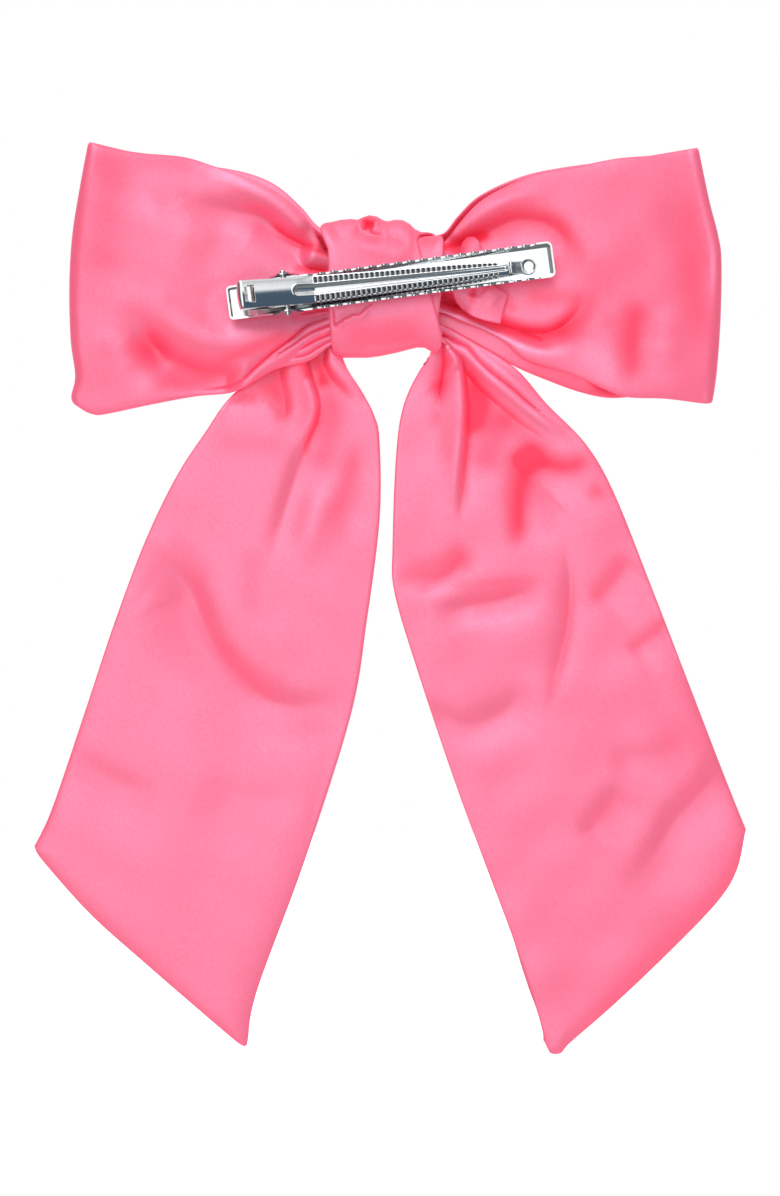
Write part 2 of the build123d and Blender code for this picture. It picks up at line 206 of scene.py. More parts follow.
def painted_shade_at(flat, places):
    """Painted shade at places (path, width, amount): how much darker and less glossy the satin is painted
    there. A negative amount is a painted highlight that adds gloss.
    """
    shade = np.zeros(flat.shape[:-1])
    for path, width, amount in places:
        distance, share = near_path(flat, path)
        shade += amount * fading(share, (0.25, 0.25)) * np.exp(-(distance / width) ** 2)
    return np.clip(shade, -1, 1.13)


def ripple(flat, seed, size, amount):
    """Faint unevenness of pressed satin: a sum of a few plane waves."""
    random = np.random.default_rng(seed)
    total = np.zeros(flat.shape[:-1])
    for _ in range(9):
        angle, phase, stretch = random.uniform(0, 2 * math.pi, 2).tolist() + [random.uniform(0.6, 1.6)]
        wave = flat[..., 0] * math.cos(angle) + flat[..., 1] * math.sin(angle)
        total += np.sin(wave * 2 * math.pi / (size * stretch) + phase)
    return total * amount / 3


def edge_shares(count, lead=0.03):
    """Shares from 0 to 1, closer together at both edges, where the cloth turns over."""
    start = lead * (1 - np.cos(np.linspace(0, math.pi / 2, 7)))[:-1]
    return np.concatenate((start, np.linspace(lead, 1 - lead, count), (1 - start)[::-1]))


def run_from(grid, axis, back=False):
    """Length along a grid from its first line (or from its last one), in mm."""
    steps = np.linalg.norm(np.diff(grid, axis=axis), axis=-1)
    if back:
        steps = np.flip(steps, axis)
    zero = np.zeros_like(np.take(steps, [0], axis))
    length = np.concatenate((zero, np.cumsum(steps, axis=axis)), axis=axis)
    return np.flip(length, axis) if back else length


def edge_run(middle):
    """Length across a sheet from the nearer of its two long edges, in mm."""
    return np.minimum(run_from(middle, 1), run_from(middle, 1, back=True))


def rounded_box(wave, power):
    """A sine or cosine squared off by a power, for sections between an ellipse and a box."""
    return np.sign(wave) * np.abs(wave) ** power


def rounded(distance, radius, half):
    """Half thickness that closes in a round edge."""
    return half * np.sqrt(1 - (1 - np.clip(distance / radius, 0, 1)) ** 2)


def mesh_object(name, points, faces, body=BOW, painted_shade=None):
    """A smooth, closed mesh from points in mm, welded and facing outwards, with its painted shade stored per
    point.
    """
    mesh = bpy.data.meshes.new(name)
    mesh.from_pydata((points * MM).tolist(), [], faces)
    # Stores the painted shade per point as a mesh attribute.
    if painted_shade is not None:
        mesh.attributes.new("painted_shade", "FLOAT", "POINT").data.foreach_set("value", painted_shade.ravel())
    build = bmesh.new()
    build.from_mesh(mesh)
    bmesh.ops.remove_doubles(build, verts=build.verts, dist=2e-6)
    bmesh.ops.dissolve_degenerate(build, edges=build.edges, dist=1e-7)
    bmesh.ops.recalc_face_normals(build, faces=build.faces)
    build.to_mesh(mesh)
    build.free()
    mesh.shade_smooth()
    made = bpy.data.objects.new(name, mesh)
    bpy.context.scene.collection.objects.link(made)
    if body:
        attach(made, body)
    return made


def sheet(name, middle, half, body=BOW, ring=False, normal=None, painted_shade=None):
    """A middle surface thickened to both sides. Ring joins its last row to its first."""
    if normal is None:
        first = np.gradient(middle, axis=0)
        if ring:
            first = (np.roll(middle, -1, axis=0) - np.roll(middle, 1, axis=0)) / 2
        normal = np.cross(first, np.gradient(middle, axis=1))
        normal /= np.linalg.norm(normal, axis=-1, keepdims=True) + 1e-12
    one_side = middle + normal * half[..., None]
    other_side = middle - normal * half[..., None]
    around = np.concatenate((one_side, other_side[:, -2:0:-1]), axis=1)
    # Painted shade, copied to the sheet's other side.
    if painted_shade is not None:
        painted_shade = np.concatenate((painted_shade, painted_shade[:, -2:0:-1]), axis=1)
    rows, columns = around.shape[:2]
    index = np.arange(rows * columns).reshape(rows, columns)
    beside = np.roll(index, -1, axis=1)
    if ring:
        below, below_beside = np.roll(index, -1, axis=0), np.roll(beside, -1, axis=0)
    else:
        below, below_beside = index[1:], beside[1:]
        index, beside = index[:-1], beside[:-1]
    faces = np.stack((index, beside, below_beside, below), axis=-1).reshape(-1, 4).tolist()
    if not ring:
        for row in (0, rows - 1):
            for j in range(middle.shape[1] - 1):
                a, b = row * columns + j, row * columns + j + 1
                c, d = row * columns + (columns - j - 1) % columns, row * columns + (columns - j) % columns
                faces.append(list(dict.fromkeys((a, b, c, d))))
    return mesh_object(name, around.reshape(-1, 3), faces, body, painted_shade)


# ---------------------------------------------------------------- loops

LEFT_LOOP = {
    "back_top": [(-0.5, 6.5), (-11, 7.2), (-14.9, 8.1), (-18.8, 14.6), (-25.3, 21.3), (-34, 25.9),
                 (-42.2, 28.8), (-49.5, 31), (-59.9, 32), (-68.5, 33.5), (-72, 34.6)],
    "back_bottom": [(-0.5, -12.5), (-11, -13.9), (-14.1, -14.8), (-19.3, -18.4), (-27.5, -20.6),
                    (-36.8, -25.7),
                    (-46.5, -26.9), (-57.7, -29), (-68.1, -31.2), (-71, -31.3), (-73.7, -29.7)],
    "front_top": [(-0.5, 8), (-12, 11.5), (-17.1, 14.4), (-21, 18.9), (-27, 24.1), (-34, 27.1),
                  (-44, 29), (-59.9, 31.8), (-72, 34.6)],
    "front_bottom": [(-0.5, -12.3), (-11, -12.5), (-19, -15), (-27, -18.5), (-36.6, -24.3),
                     (-46.5, -26.5), (-57.7, -28.6), (-73.7, -29.7)],
    "fold": [(-73.7, -29.7), (-76.1, -27.5), (-75.2, -22), (-76.3, -13), (-76.6, 0), (-75.9, 12),
             (-74, 24), (-72, 34.6)],
}

RIGHT_LOOP = {
    "back_top": [(0.5, 6.5), (10, 8.6), (13.9, 10.7), (17.1, 14.6), (21.9, 19.8), (27.9, 23.5),
                 (36, 27), (45.7, 28.7), (55.2, 30.6), (65, 31.5), (74.6, 33.2)],
    "back_bottom": [(0.5, -9), (8, -6.5), (12.8, -6.6), (17.6, -8.7), (23.2, -10.9), (28.4, -13.9),
                    (33.5, -18.2),
                    (43.5, -21.3), (52.1, -25.1), (57.7, -27.1), (67, -27.5), (75.9, -28.6), (78, -28.6)],
    "front_top": [(0.5, 8), (9, 11.4), (13.7, 12.7), (17.1, 16.8), (22.3, 21.7), (31.8, 26.1),
                  (42, 28.4), (60, 30.8), (74.6, 33.2)],
    "front_bottom": [(0.5, -10), (10, -9.5), (20, -14), (30.7, -19.7), (37.4, -22.6), (46.1, -25.8),
                     (53.4, -27.3), (62, -27.1), (78, -28.6)],
    "fold": [(78, -28.6), (79.1, -20.8), (80, -7.9), (80.2, 6), (79.4, 12), (77.2, 20.7), (74.6, 33.2)],
}

FOLD_CENTRE_Y = 7.5     # the loops' outer fold turns about this depth
FOLD_SHARE = 0.03       # share of the panel's length that the outer fold's turn takes
FOLD_BACK_Y = 4.2
FOLD_FRONT_Y = 10.8
FOLD_PAINTED_SHEEN = 0.4        # painted highlight: how much more gloss the outer fold's turn is given


# Painted shade on each piece, as (path, width in mm, amount): the satin is painted darker and less glossy
# there, where folds would shade it. Negative amounts are painted highlights that add gloss.
LEFT_LOOP_PAINTED_SHADE = (
    ([(-64, 32), (-68, 18), (-68, -2)], 5.5, 0.4),
    ([(-78, 33), (-62, 30), (-50, 30), (-38, 27)], 4, 0.45),
    ([(-58, 19), (-51, 21), (-46, 22)], 5, 0.3),
    ([(-46, 11), (-39, 11), (-34, 11)], 2.5, 0.3),
    ([(-60, -10), (-56, -15), (-51, -19.5), (-44, -21.5), (-36, -21)], 2.8, 0.6),
    ([(-70, -12), (-66, -18), (-60, -22)], 3, 0.3),
    ([(-56, -2), (-49, -6), (-42, -11)], 3, 0.35),
    ([(-42, -18), (-36, -16.5), (-30, -14), (-22, -10.5)], 1.6, 0.6),
    ([(-60, -24.5), (-50, -24), (-40, -24)], 2, 0.35),
    ([(-24, 3.6), (-19, 3.6), (-14, 3.5)], 1.4, 0.7),
    ([(-29, 15.8), (-25, 12.4), (-22, 10.7), (-19, 9.5), (-15, 8.4)], 1.2, 1.0),
    ([(-42, -11), (-30, -9.6), (-20, -8.4), (-8, -7)], 2.0, -0.7),
    ([(-44, -11), (-38, -11)], 2.5, 0.3),
    ([(-42, 14.5), (-33, 12.4), (-26, 9.4), (-19, 6.8)], 2.4, -0.55),
    ([(-50, 30), (-38, 26.5), (-27, 20)], 2.0, -0.3),
)
RIGHT_LOOP_PAINTED_SHADE = (
    ([(12, 8), (18, 11), (25, 13.6), (30, 15), (36, 15), (41, 13), (44.5, 8), (45, 0)], 3.8, 0.6),
    ([(10, 8.2), (15, 9.4), (18, 10.4), (21, 11.4), (26, 12.4)], 1.5, 1.0),
    ([(20, 22), (32, 24), (44, 25), (58, 25), (66, 24)], 6, 0.35),
    ([(53, 24), (53, 12), (52, 0), (50, -8)], 7, 0.3),
    ([(22, -6), (30, -9.6), (36, -10.8), (40, -10.4), (43.4, -7.6), (45.6, -4)], 1.4, 1.0),
    ([(46, -3), (51, -7), (54, -12)], 3.0, 0.4),
    ([(32, -3), (40, -3), (48, -3.5)], 2.5, 0.5),
    ([(27, -4), (29.5, -5), (31, -7)], 1.5, 0.4),
    ([(9, -2.6), (14.5, -4.5), (20, -6.4)], 1.2, 1.1),
    ([(61.4, -2), (59.4, -10), (59, -17), (59, -25)], 3.6, 0.75),
    ([(40, -13), (46, -13), (52, -11)], 2.5, 0.4),
    ([(32, -20.5), (40, -23.5), (48, -25.5), (54, -27)], 1.5, 0.6),
    ([(71, 24), (74, 10), (74.5, 0), (75, -16)], 3.6, 0.45),
    ([(4, -2), (14, -7.4), (24, -11.4), (33, -13.9), (42, -15)], 2.2, -0.6),
    ([(45, -15), (52, -18), (54, -22), (53, -26)], 4, -0.6),
)
LEFT_TAIL_PAINTED_SHADE = (
    ([(-40, -28), (-33, -27), (-27, -23)], 2.6, 0.5),
    ([(-26.4, -18), (-26.4, -25), (-25.2, -31), (-28.5, -35)], 2.5, 0.8),
    ([(-44, -37), (-32, -38.5), (-22, -38)], 3, 0.3),
    ([(-15.5, -18), (-13.2, -26), (-13.6, -34), (-15.6, -41), (-17, -48)], 4.2, 0.6),
    ([(-18.5, -15), (-17, -19), (-16, -22), (-15.4, -26)], 1.9, 0.9),
    ([(-17.4, -28), (-17.6, -33), (-19.4, -38), (-20.6, -43)], 1.2, 0.5),
    ([(-8, -36), (-8.5, -46), (-10.5, -56), (-14, -66)], 3.0, 0.45),
    ([(-54, -60), (-47, -66), (-42, -73)], 2.8, 0.3),
    ([(-32, -62), (-33.5, -72), (-34, -82)], 3, 0.3),
    ([(-49, -74), (-44, -85), (-37, -95), (-28, -102)], 1.8, 0.4),
    ([(-42, -84), (-33, -92), (-22, -97)], 2.2, 0.3),
    ([(-36, -105), (-24, -108), (-12, -105)], 3.5, 0.25),
    ([(-21.4, -17.5), (-20.2, -20.5), (-19, -23.5)], 1.1, 1.0),
)
RIGHT_TAIL_PAINTED_SHADE = (
    ([(19.2, -18), (20.6, -24), (21.4, -28), (20.8, -32), (19.4, -38)], 2.7, 1.0),
    ([(22, -22), (25, -33), (25.5, -38), (23, -48)], 5.0, 0.75),
    ([(34.6, -35), (34, -41), (33, -46), (32, -51), (31.6, -57), (31.4, -66)], 3.2, 1.0),
    ([(27, -42), (34, -42.4), (40, -43.4), (44, -43.8), (51, -41)], 2.5, 1.0),
    ([(36, -44), (38, -52), (38, -62)], 3.6, 0.35),
    ([(26, -29), (33, -36), (41, -42)], 3.2, 0.5),
    ([(13, -22), (12, -29), (11, -36)], 2.0, 0.4),
    ([(20, -28), (19.4, -40), (18.4, -56)], 0.9, 0.5),
    ([(8, -10), (20, -19.4), (27, -25), (35, -32), (48, -43)], 1.5, -0.2),
    ([(47, -51), (49.4, -50), (52, -49)], 2.5, 0.3),
    ([(48, -50), (52, -50), (56, -49)], 2.5, 0.4),
    ([(1, -68), (10, -67), (16, -64.5), (19, -60)], 2.6, 0.45),
    ([(12, -73.5), (24, -72), (40, -71)], 1.8, 0.45),
    ([(5, -74.5), (13, -71), (17, -68), (20, -63)], 1.9, 0.6),
    ([(18, -79), (26, -78.5), (34, -77)], 2.6, 0.35),
    ([(44, -70), (43.5, -82), (41.5, -93), (37, -106)], 1.5, 0.5),
    ([(58, -100), (69, -108), (70, -116), (64, -122)], 5.5, 0.3),
    ([(52, -122), (54, -130), (52, -140)], 4.5, 0.25),
    ([(87, -128), (80, -145), (62, -164), (42, -185)], 3.6, 0.4),
    ([(14, -15), (14, -20), (10, -27)], 2.2, 0.5),
    ([(14, -26), (13.5, -35), (14, -44)], 2.0, 0.25),
    ([(46, -79), (53.5, -71), (60, -62)], 2.6, 0.35),
    ([(55, -90), (63, -84.5), (70, -79)], 2.2, 0.3),
)
# Painted shade on the band's free end.
FREE_END_PAINTED_SHADE = (
    ([(16, 5), (18, 10), (20, 12), (23, 13)], 1.8, 0.9),
    ([(20.8, 1), (20.4, -3), (20, -5)], 0.8, 0.6),
)
# Painted shade on the knot's wrap, on the side that carries the clip.
KNOT_PAINTED_SHADE = (
    ([(-15, 8), (-6, 10.5), (4, 9.5), (11, 8)], 5, 0.35),
    ([(-14, -12), (0, -11.5), (11, -10)], 4, 0.35),
    ([(-6.4, 14.4), (-4.6, 14.6), (-2.8, 14)], 1.5, 1.3),
    ([(-14.5, 11.5), (-12, 13)], 2.5, 0.4),
    ([(8, 11), (12, 9)], 2.5, 0.4),
    ([(-15, -7), (0, -6.5), (10, -5)], 1.5, -0.2),
)


def left_loop_folds(flat):
    """Hollows and ridges of the left loop's back panel, mm of depth at each point."""
    depth = slope(flat, [(-54, 22.4), (-47, 21.8), (-40, 20.3), (-33, 18.8), (-29, 17.2), (-25, 13.8),
                         (-21, 10.9), (-17, 9.2)], 2.7, 3.0, 5.0, fade=(0.75, 0.1))
    depth += ridge(flat, [(-44, 26.5), (-34, 23.6), (-26, 19.2), (-19.5, 12.6)], 0.8, 2.2, fade=(0.4, 0.1))
    depth += pleat(flat, [(-14.5, 7.0), (-17, 7.7), (-19, 8.4), (-21.5, 9.4), (-24, 10.6), (-27, 12.3),
                          (-30, 14.6)], 0.8, 0.3, 2, reach=6)
    depth += valley(flat, [(-23, 5.2), (-18.8, 4.0), (-15, 3.4)], 1.6, 1.5, fade=(0.6, 0))
    depth += valley(flat, [(-24.5, -8.0), (-21, -7.0), (-15, -6)], 1.6, 1.4, fade=(0.6, 0))
    depth += slope(flat, [(-62, -2), (-59.5, -7), (-55, -13), (-50.5, -16.6), (-45, -18.8), (-38.5, -19.6),
                          (-34, -20)], 3.1, 3.8, 6, fade=(0.45, 0.15))
    depth += slope(flat, [(-59.5, -9), (-55.2, -13.4), (-50, -17)], 1.4, 3.2, 4, fade=(0.5, 0.5))
    depth += ridge(flat, [(-56, -2), (-50.5, -9.5), (-43, -13.6), (-36, -14), (-29.5, -12.6), (-21, -10.4)],
                   0.8, 4.5, 2.8, fade=(0.4, 0.2))
    depth += ridge(flat, [(-61, 22), (-57, 14), (-50, 9), (-40, 7)], 0.6, 9, fade=(0.4, 0.4))
    depth += ridge(flat, [(-67, -10), (-66, -18), (-60, -25)], 0.5, 6, fade=(0.4, 0.4))
    gathers = (
        ([(-14.3, -8.4), (-19.3, -10.4), (-23.2, -13.5), (-27.5, -16.6), (-32, -20.6), (-36.5, -24.2),
          (-47, -26.3)], 1.2),
        ([(-14.3, -10.3), (-18.8, -12.1), (-22.7, -14.8), (-27, -17.6), (-32, -21.9)], 1.0),
        ([(-14.2, -12.5), (-17, -13.6), (-20.2, -15.4), (-24, -17.4)], 0.9),
        ([(-14.1, -14), (-16.7, -15.4), (-19.7, -17.2), (-25.3, -18.5)], 0.8),
    )
    for path, height in gathers:
        depth += pleat(flat, path, height, 0.18, 0.5, reach=1.7)
    return depth


def right_loop_folds(flat):
    """Hollows and ridges of the right loop's back panel."""
    depth = slope(flat, [(13.5, 8.6), (17, 11.2), (21, 13.2), (25, 14.8), (30, 16.9), (36, 16.9), (41, 15),
                         (44, 11), (44.5, 4)], 1.6, 2.6, 6.5, fade=(0.1, 0.35))
    depth += ridge(flat, [(14, 10.4), (19, 14.6), (25, 18.8), (33, 21.5), (42, 22)],
                   1.0, 2.6, fade=(0.1, 0.5))
    depth += slope(flat, [(12, -0.4), (16, -2.4), (21, -4.6), (27, -8.2), (33, -10.3), (38, -10.6),
                          (42.5, -8.6), (45.6, -5), (47, 0)], 2.4, 1.4, 3.6, fade=(0, 0.25))
    depth += ridge(flat, [(12.2, -5.7), (17, -7.3), (23.6, -10.2), (30, -13.4), (37, -16.4), (46, -18.5)],
                   0.9, 1.9, 2.6, fade=(0, 0.45))
    depth += valley(flat, [(11, -3.2), (14.5, -4.4), (18.5, -5.8)], 2.6, 1.0, fade=(0, 0.4))
    depth += slope(flat, [(57.4, -27), (57.6, -21), (57.9, -14), (59.4, -7), (62.4, -1)],
                   1.3, 3.4, 8, fade=(0.4, 0.5))
    depth += slope(flat, [(73.5, -12), (72, 2), (68.5, 13), (60, 24)], 0.9, 4.5, 11, fade=(0.4, 0.4))
    depth += ridge(flat, [(66, -4), (67, -14), (66, -22)], 0.6, 4.5, fade=(0.4, 0.4))
    depth += ridge(flat, [(40, 4), (53, 6), (62, 12)], 0.6, 7, fade=(0.3, 0.4))
    return depth


def front_pleats(across, run, seed):
    """Gathers that fan out from the knot on a loop's front panel."""
    random = np.random.default_rng(seed)
    shifts = random.uniform(0, 2 * math.pi, 3)
    fan = 0.9 * np.cos(2 * math.pi * 3.4 * across + shifts[0])
    fan = fan + 0.6 * np.cos(2 * math.pi * 5.6 * across + shifts[1] + 2 * run)
    soft = 1.6 * np.cos(2 * math.pi * 1.7 * across + shifts[2] + 3 * run)
    return fan * np.exp(-(run / 0.42) ** 2) * 1.2 + soft * ease(run / 0.3) * (1 - ease((run - 0.5) / 0.4))


JAW_HALF = 3.6          # from the lower jaw's axis to the corners of its box, across the clip
CLEAR_HALF = 4.6        # cloth this near the axis stays fully under the jaw
CLEAR_FADE = 13.0       # and is free this much farther out
CLEAR_Y, CLEAR_DROP = 1.7, 9.0
CLEAR_SOFT = 0.5


def clear_of_clip(flat, depth):
    """Keeps cloth under the clip's lower jaw, which is glued on at the knot."""
    low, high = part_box("base_jaw")
    axis = [(low.x / MM, low.z / MM + JAW_HALF), (high.x / MM, high.z / MM - JAW_HALF)]
    distance, _ = near_path(flat, axis)
    away = ease((np.abs(distance) - CLEAR_HALF) / CLEAR_FADE)
    limit = CLEAR_Y - CLEAR_DROP * away
    return CLEAR_SOFT * np.log(np.exp(depth / CLEAR_SOFT) + np.exp(limit / CLEAR_SOFT))


def loop(name, outline, folds, painted_shades, back_profile, front_profile, seed, hug):
    """One loop of the band: out along the back panel, round the outer fold, and back along the front one.

    Hug is how closely the front panel's lower edge keeps behind the back panel near the knot."""
    t = edge_shares(LOOP_ROWS)
    out = np.linspace(0, 1 - FOLD_SHARE, 120)
    turn = np.linspace(0, math.pi / 2, 26)[1:]
    turning = 1 - FOLD_SHARE + FOLD_SHARE * np.sin(turn)
    s_back = np.concatenate((out, turning))
    back = patch(outline["back_bottom"], outline["back_top"], outline["fold"], s_back, t)
    front = patch(outline["front_bottom"], outline["front_top"], outline["fold"], s_back, t)
    across = t[None, :]
    run = s_back[:, None]
    flatten = 1 - ease((run - (1 - FOLD_SHARE)) / FOLD_SHARE)
    rise = np.concatenate((np.zeros(len(out)), 1 - np.cos(turn)))[:, None]

    back_base = profile(back_profile, s_back)
    curl = 1.3 * np.abs(2 * across - 1) ** 4 * ease(run / 0.3)
    back_depth = back_base + (folds(back) + curl) * flatten + ripple(back, seed, 16, 0.16) * flatten
    back_depth = clear_of_clip(back, back_depth)
    back_depth = back_depth + (FOLD_CENTRE_Y - FOLD_BACK_Y) * rise

    front_base = profile(front_profile, s_back)
    crown = 2.2 * (1 - (2 * across - 1) ** 2) * ease(run / 0.3)
    front_depth = front_base + (crown + front_pleats(across, run, seed)) * flatten
    close = hug * (1 - ease((across - 0.12) / 0.3)) * (1 - ease((run - 0.62) / 0.24))
    gap = 3.0 - 1.4 * ease((run - 0.3) / 0.15)
    front_depth = front_depth * (1 - close) + (back_base + gap) * close
    front_depth = front_depth + ripple(front, seed + 1, 18, 0.25) * flatten
    front_depth = front_depth - (FOLD_FRONT_Y - FOLD_CENTRE_Y) * rise

    middle = np.concatenate((to_depth(back, back_depth), to_depth(front, front_depth)[-2::-1]))
    edge = edge_run(middle)
    half = rounded(edge, 1.3, CLOTH_HALF)
    # Painted shade on the back panel from its marks, a painted highlight of extra gloss on the outer fold's
    # turn, and painted shade on the front panel's strip that shows below the back panel's edge.
    shade = np.zeros(middle.shape[:-1])
    shade[:len(back)] = painted_shade_at(back, painted_shades) * flatten - FOLD_PAINTED_SHEEN * (1 - flatten)
    shade[len(back):] = (0.55 * close * ease((run - 0.34) / 0.14))[-2::-1]
    return sheet(name, middle, half, painted_shade=shade)


# Depth of the panels, as (share of the way out, Y). Both loops share the outer part.
BACK_OUTER = [(0.78, 1.6), (0.88, 2.6), (1, 0.2 + FOLD_BACK_Y)]
FRONT_OUTER = [(0.55, 18.3), (0.75, 16.6), (0.9, 13.2), (1, FOLD_FRONT_Y)]
LEFT_BACK = [(0, 4.4), (0.18, 4.2), (0.3, 3.2), (0.5, 2.2), (0.68, 1.5)] + BACK_OUTER
LEFT_FRONT = [(0, 10.4), (0.18, 11.4), (0.35, 16.3)] + FRONT_OUTER
RIGHT_BACK = [(0, 4.6), (0.18, 5.2), (0.3, 4.8), (0.45, 3.4), (0.6, 2.0), (0.7, 1.5)] + BACK_OUTER
RIGHT_FRONT = [(0, 10.4), (0.18, 11.0), (0.35, 15.5)] + FRONT_OUTER


def make_loops():
    """Both loops of the satin band."""
    left = loop("loop_left", LEFT_LOOP, left_loop_folds, LEFT_LOOP_PAINTED_SHADE, LEFT_BACK, LEFT_FRONT,
                seed=3, hug=0.4)
    right = loop("loop_right", RIGHT_LOOP, right_loop_folds, RIGHT_LOOP_PAINTED_SHADE, RIGHT_BACK, RIGHT_FRONT,
                 seed=11, hug=1.0)
    return left, right


# ---------------------------------------------------------------- tails

LEFT_TAIL = {
    "inner": [(-4, -12), (-9, -14.5), (-11.6, -17.2), (-6.3, -25.7), (-3.2, -31.8), (-2, -38), (-2, -56.5),
              (-5.1, -81.2), (-9, -104.1), (-20.3, -139.7), (-31.7, -170.8), (-34.1, -183.8)],
    "outer": [(-4, -9), (-14, -13.4), (-24, -18), (-36.9, -25.9), (-44.6, -36.2), (-51.4, -46.7),
              (-58.8, -62.1),
              (-66.2, -81.8), (-73.8, -104.7), (-81.4, -127), (-85.6, -135.8)],
    "end": [(-34.1, -183.8), (-35.4, -183.9), (-40.4, -179.9), (-59.2, -163.7), (-72.2, -152), (-83.6,
                                                                                                -139.2),
            (-85.6, -135.8)],
}

RIGHT_TAIL = {
    "inner": [(4, -12), (9, -13.8), (11.3, -16.6), (7.7, -20.6), (3.6, -29.7), (1.9, -42), (1.1, -63.2),
              (1.5, -74),
              (6.9, -92.5), (17.7, -124.4), (33, -165.5), (38.5, -184)],
    "outer": [(4, -7), (12.6, -9.4), (19.7, -13), (30.7, -20), (38.3, -28.6), (47.9, -38.5), (54.7, -50.3),
              (63.8, -73.1),
              (74.1, -99.8), (81.5, -119), (86.6, -131.7)],
    "end": [(38.5, -184), (39.3, -185.8), (41.8, -185.8), (44.2, -183.2), (54.2, -174.5), (66.8, -162.6),
            (79.4, -149.6), (84.4, -141.5), (86.6, -131.7)],
}


TAIL_PAINTED_SHEEN = 0.16       # painted highlight: how much more gloss the tails' satin is given than the loops'
TAIL_HANG = [(0, 7.6), (0.08, 7.0), (0.16, 6.3), (0.3, 6.0), (0.6, 6.1), (1, 6.6)]   # share down, Y
TAIL_PUFF = 0.9         # how much thicker a tail is in the middle of its lower half


def left_tail_folds(flat):
    """Hollows and ridges of the left tail."""
    depth = pleat(flat, [(-19.8, -19), (-18.7, -23), (-17.5, -26.5), (-17.1, -30), (-18, -33.5), (-20, -38),
                         (-21.8, -43)], -1.7, 0.3, 0.5, reach=5)
    depth += slope(flat, [(-31, -70), (-27.6, -59), (-24.9, -50), (-22.2, -42), (-20, -37), (-18, -32)],
                   0.9, 2.6, 7, fade=(0.5, 0.3))
    depth += slope(flat, [(-25.2, -18), (-25, -23), (-24, -28), (-24.6, -32), (-28, -35)],
                   0.9, 1.4, 4, fade=(0.1, 0.5))
    depth += valley(flat, [(-41, -28.5), (-36, -28.6), (-31, -26)], 0.5, 1.8)
    depth += pleat(flat, [(-14.6, -16.6), (-14.6, -19), (-12.9, -22), (-9.8, -25.4), (-7, -29.5)],
                   1.2, 0.4, 2, reach=4)
    depth += slope(flat, [(-18, -62), (-12.5, -54), (-9.8, -45), (-7.4, -35)], 0.6, 3.4, 5, fade=(0.4, 0.4))
    depth += ridge(flat, [(-14.5, -44), (-18, -56), (-22, -70)], 0.7, 4, fade=(0.4, 0.4))
    depth += slope(flat, [(-61, -61.5), (-53, -65.6), (-46.5, -72), (-42.5, -82), (-37, -91),
                          (-28.5, -98.2), (-18, -100), (-9, -97)], 1.9, 3.4, 9, fade=(0.35, 0.3))
    depth += ridge(flat, [(-38, -70), (-35, -80), (-26, -87), (-17, -88)], 0.5, 4.5, fade=(0.4, 0.4))
    depth += slope(flat, [(-78, -108), (-70, -115), (-60, -120), (-52, -121)], 0.7, 3.5, 8, fade=(0.4, 0.4))
    depth += slope(flat, [(-46, -117), (-33, -122), (-20, -122)], 0.5, 4, 8, fade=(0.4, 0.4))
    return depth


def right_tail_folds(flat):
    """Hollows and ridges of the right tail."""
    depth = pleat(flat, [(15.2, -15.5), (17.2, -18.2), (18.3, -23), (18.8, -29.5), (18.6, -35),
                         (17.4, -48.5), (16.5, -59)], -2.0, 0.3, 0.8, reach=6)
    depth += valley(flat, [(13.2, -14.5), (13.6, -19), (12.6, -25), (12.5, -31)], 1.6, 1.1, fade=(0, 0.5))
    depth += slope(flat, [(17.0, -18.4), (19.8, -21.6), (22.6, -24.8), (27.4, -29), (33, -33.6),
                          (42, -39.6)], 0.8, 0.9, 7, fade=(0.05, 0.45))
    depth += ridge(flat, [(13, -10.6), (18, -13.6), (23, -17.8), (28, -21.6), (34, -26.5), (41, -33)],
                   0.6, 1.4, fade=(0, 0.4))
    depth += valley(flat, [(12.6, -11.9), (16.7, -13.9), (19.3, -15), (21.5, -17.8), (25.3, -21.3),
                           (30, -25), (35, -29.5), (42, -34.8)], 0.8, 0.5, fade=(0, 0.3))
    depth += ridge(flat, [(14, -13.9), (19.5, -17.3), (23.5, -21.3), (29, -25.7), (36, -31.4), (45, -38.6)],
                   0.8, 1.5, fade=(0, 0.3))
    depth += slope(flat, [(30.6, -66), (30.8, -56), (31, -49), (32.6, -44.6), (36.5, -42.4), (43, -42.6),
                          (49, -41)], 1.6, 2.6, 9, fade=(0.35, 0.3))
    depth += slope(flat, [(0.5, -69), (8, -69.8), (14, -68.4), (19.5, -62)], 1.0, 2.3, 3.4, fade=(0.4, 0.3))
    depth += slope(flat, [(10, -77.5), (18, -76.2), (27, -74.6), (38, -71.8)],
                   1.3, 2.3, 4, fade=(0.35, 0.35))
    depth += valley(flat, [(42.6, -60), (44, -72), (43.4, -82), (41.6, -90), (38, -104)],
                    0.9, 2.2, fade=(0.35, 0.35))
    depth += slope(flat, [(48, -77), (53.5, -71), (58, -64)], 0.7, 3.0, 7)
    depth += slope(flat, [(57, -88), (63, -84.5), (68, -80)], 0.5, 2.2, 6)
    depth += slope(flat, [(8, -98), (18, -104.5), (28, -101), (33, -94)], 0.9, 3.4, 6)
    depth += slope(flat, [(45, -134), (50, -127), (56, -119)], 0.8, 3, 6)
    depth += slope(flat, [(55, -147), (63.5, -135), (68, -127.5), (76, -119), (82, -110.5)],
                   1.2, 3.0, 9, fade=(0.5, 0.2))
    depth += slope(flat, [(52, -113), (62, -112), (73, -109)], 0.5, 3.5, 6)
    return depth


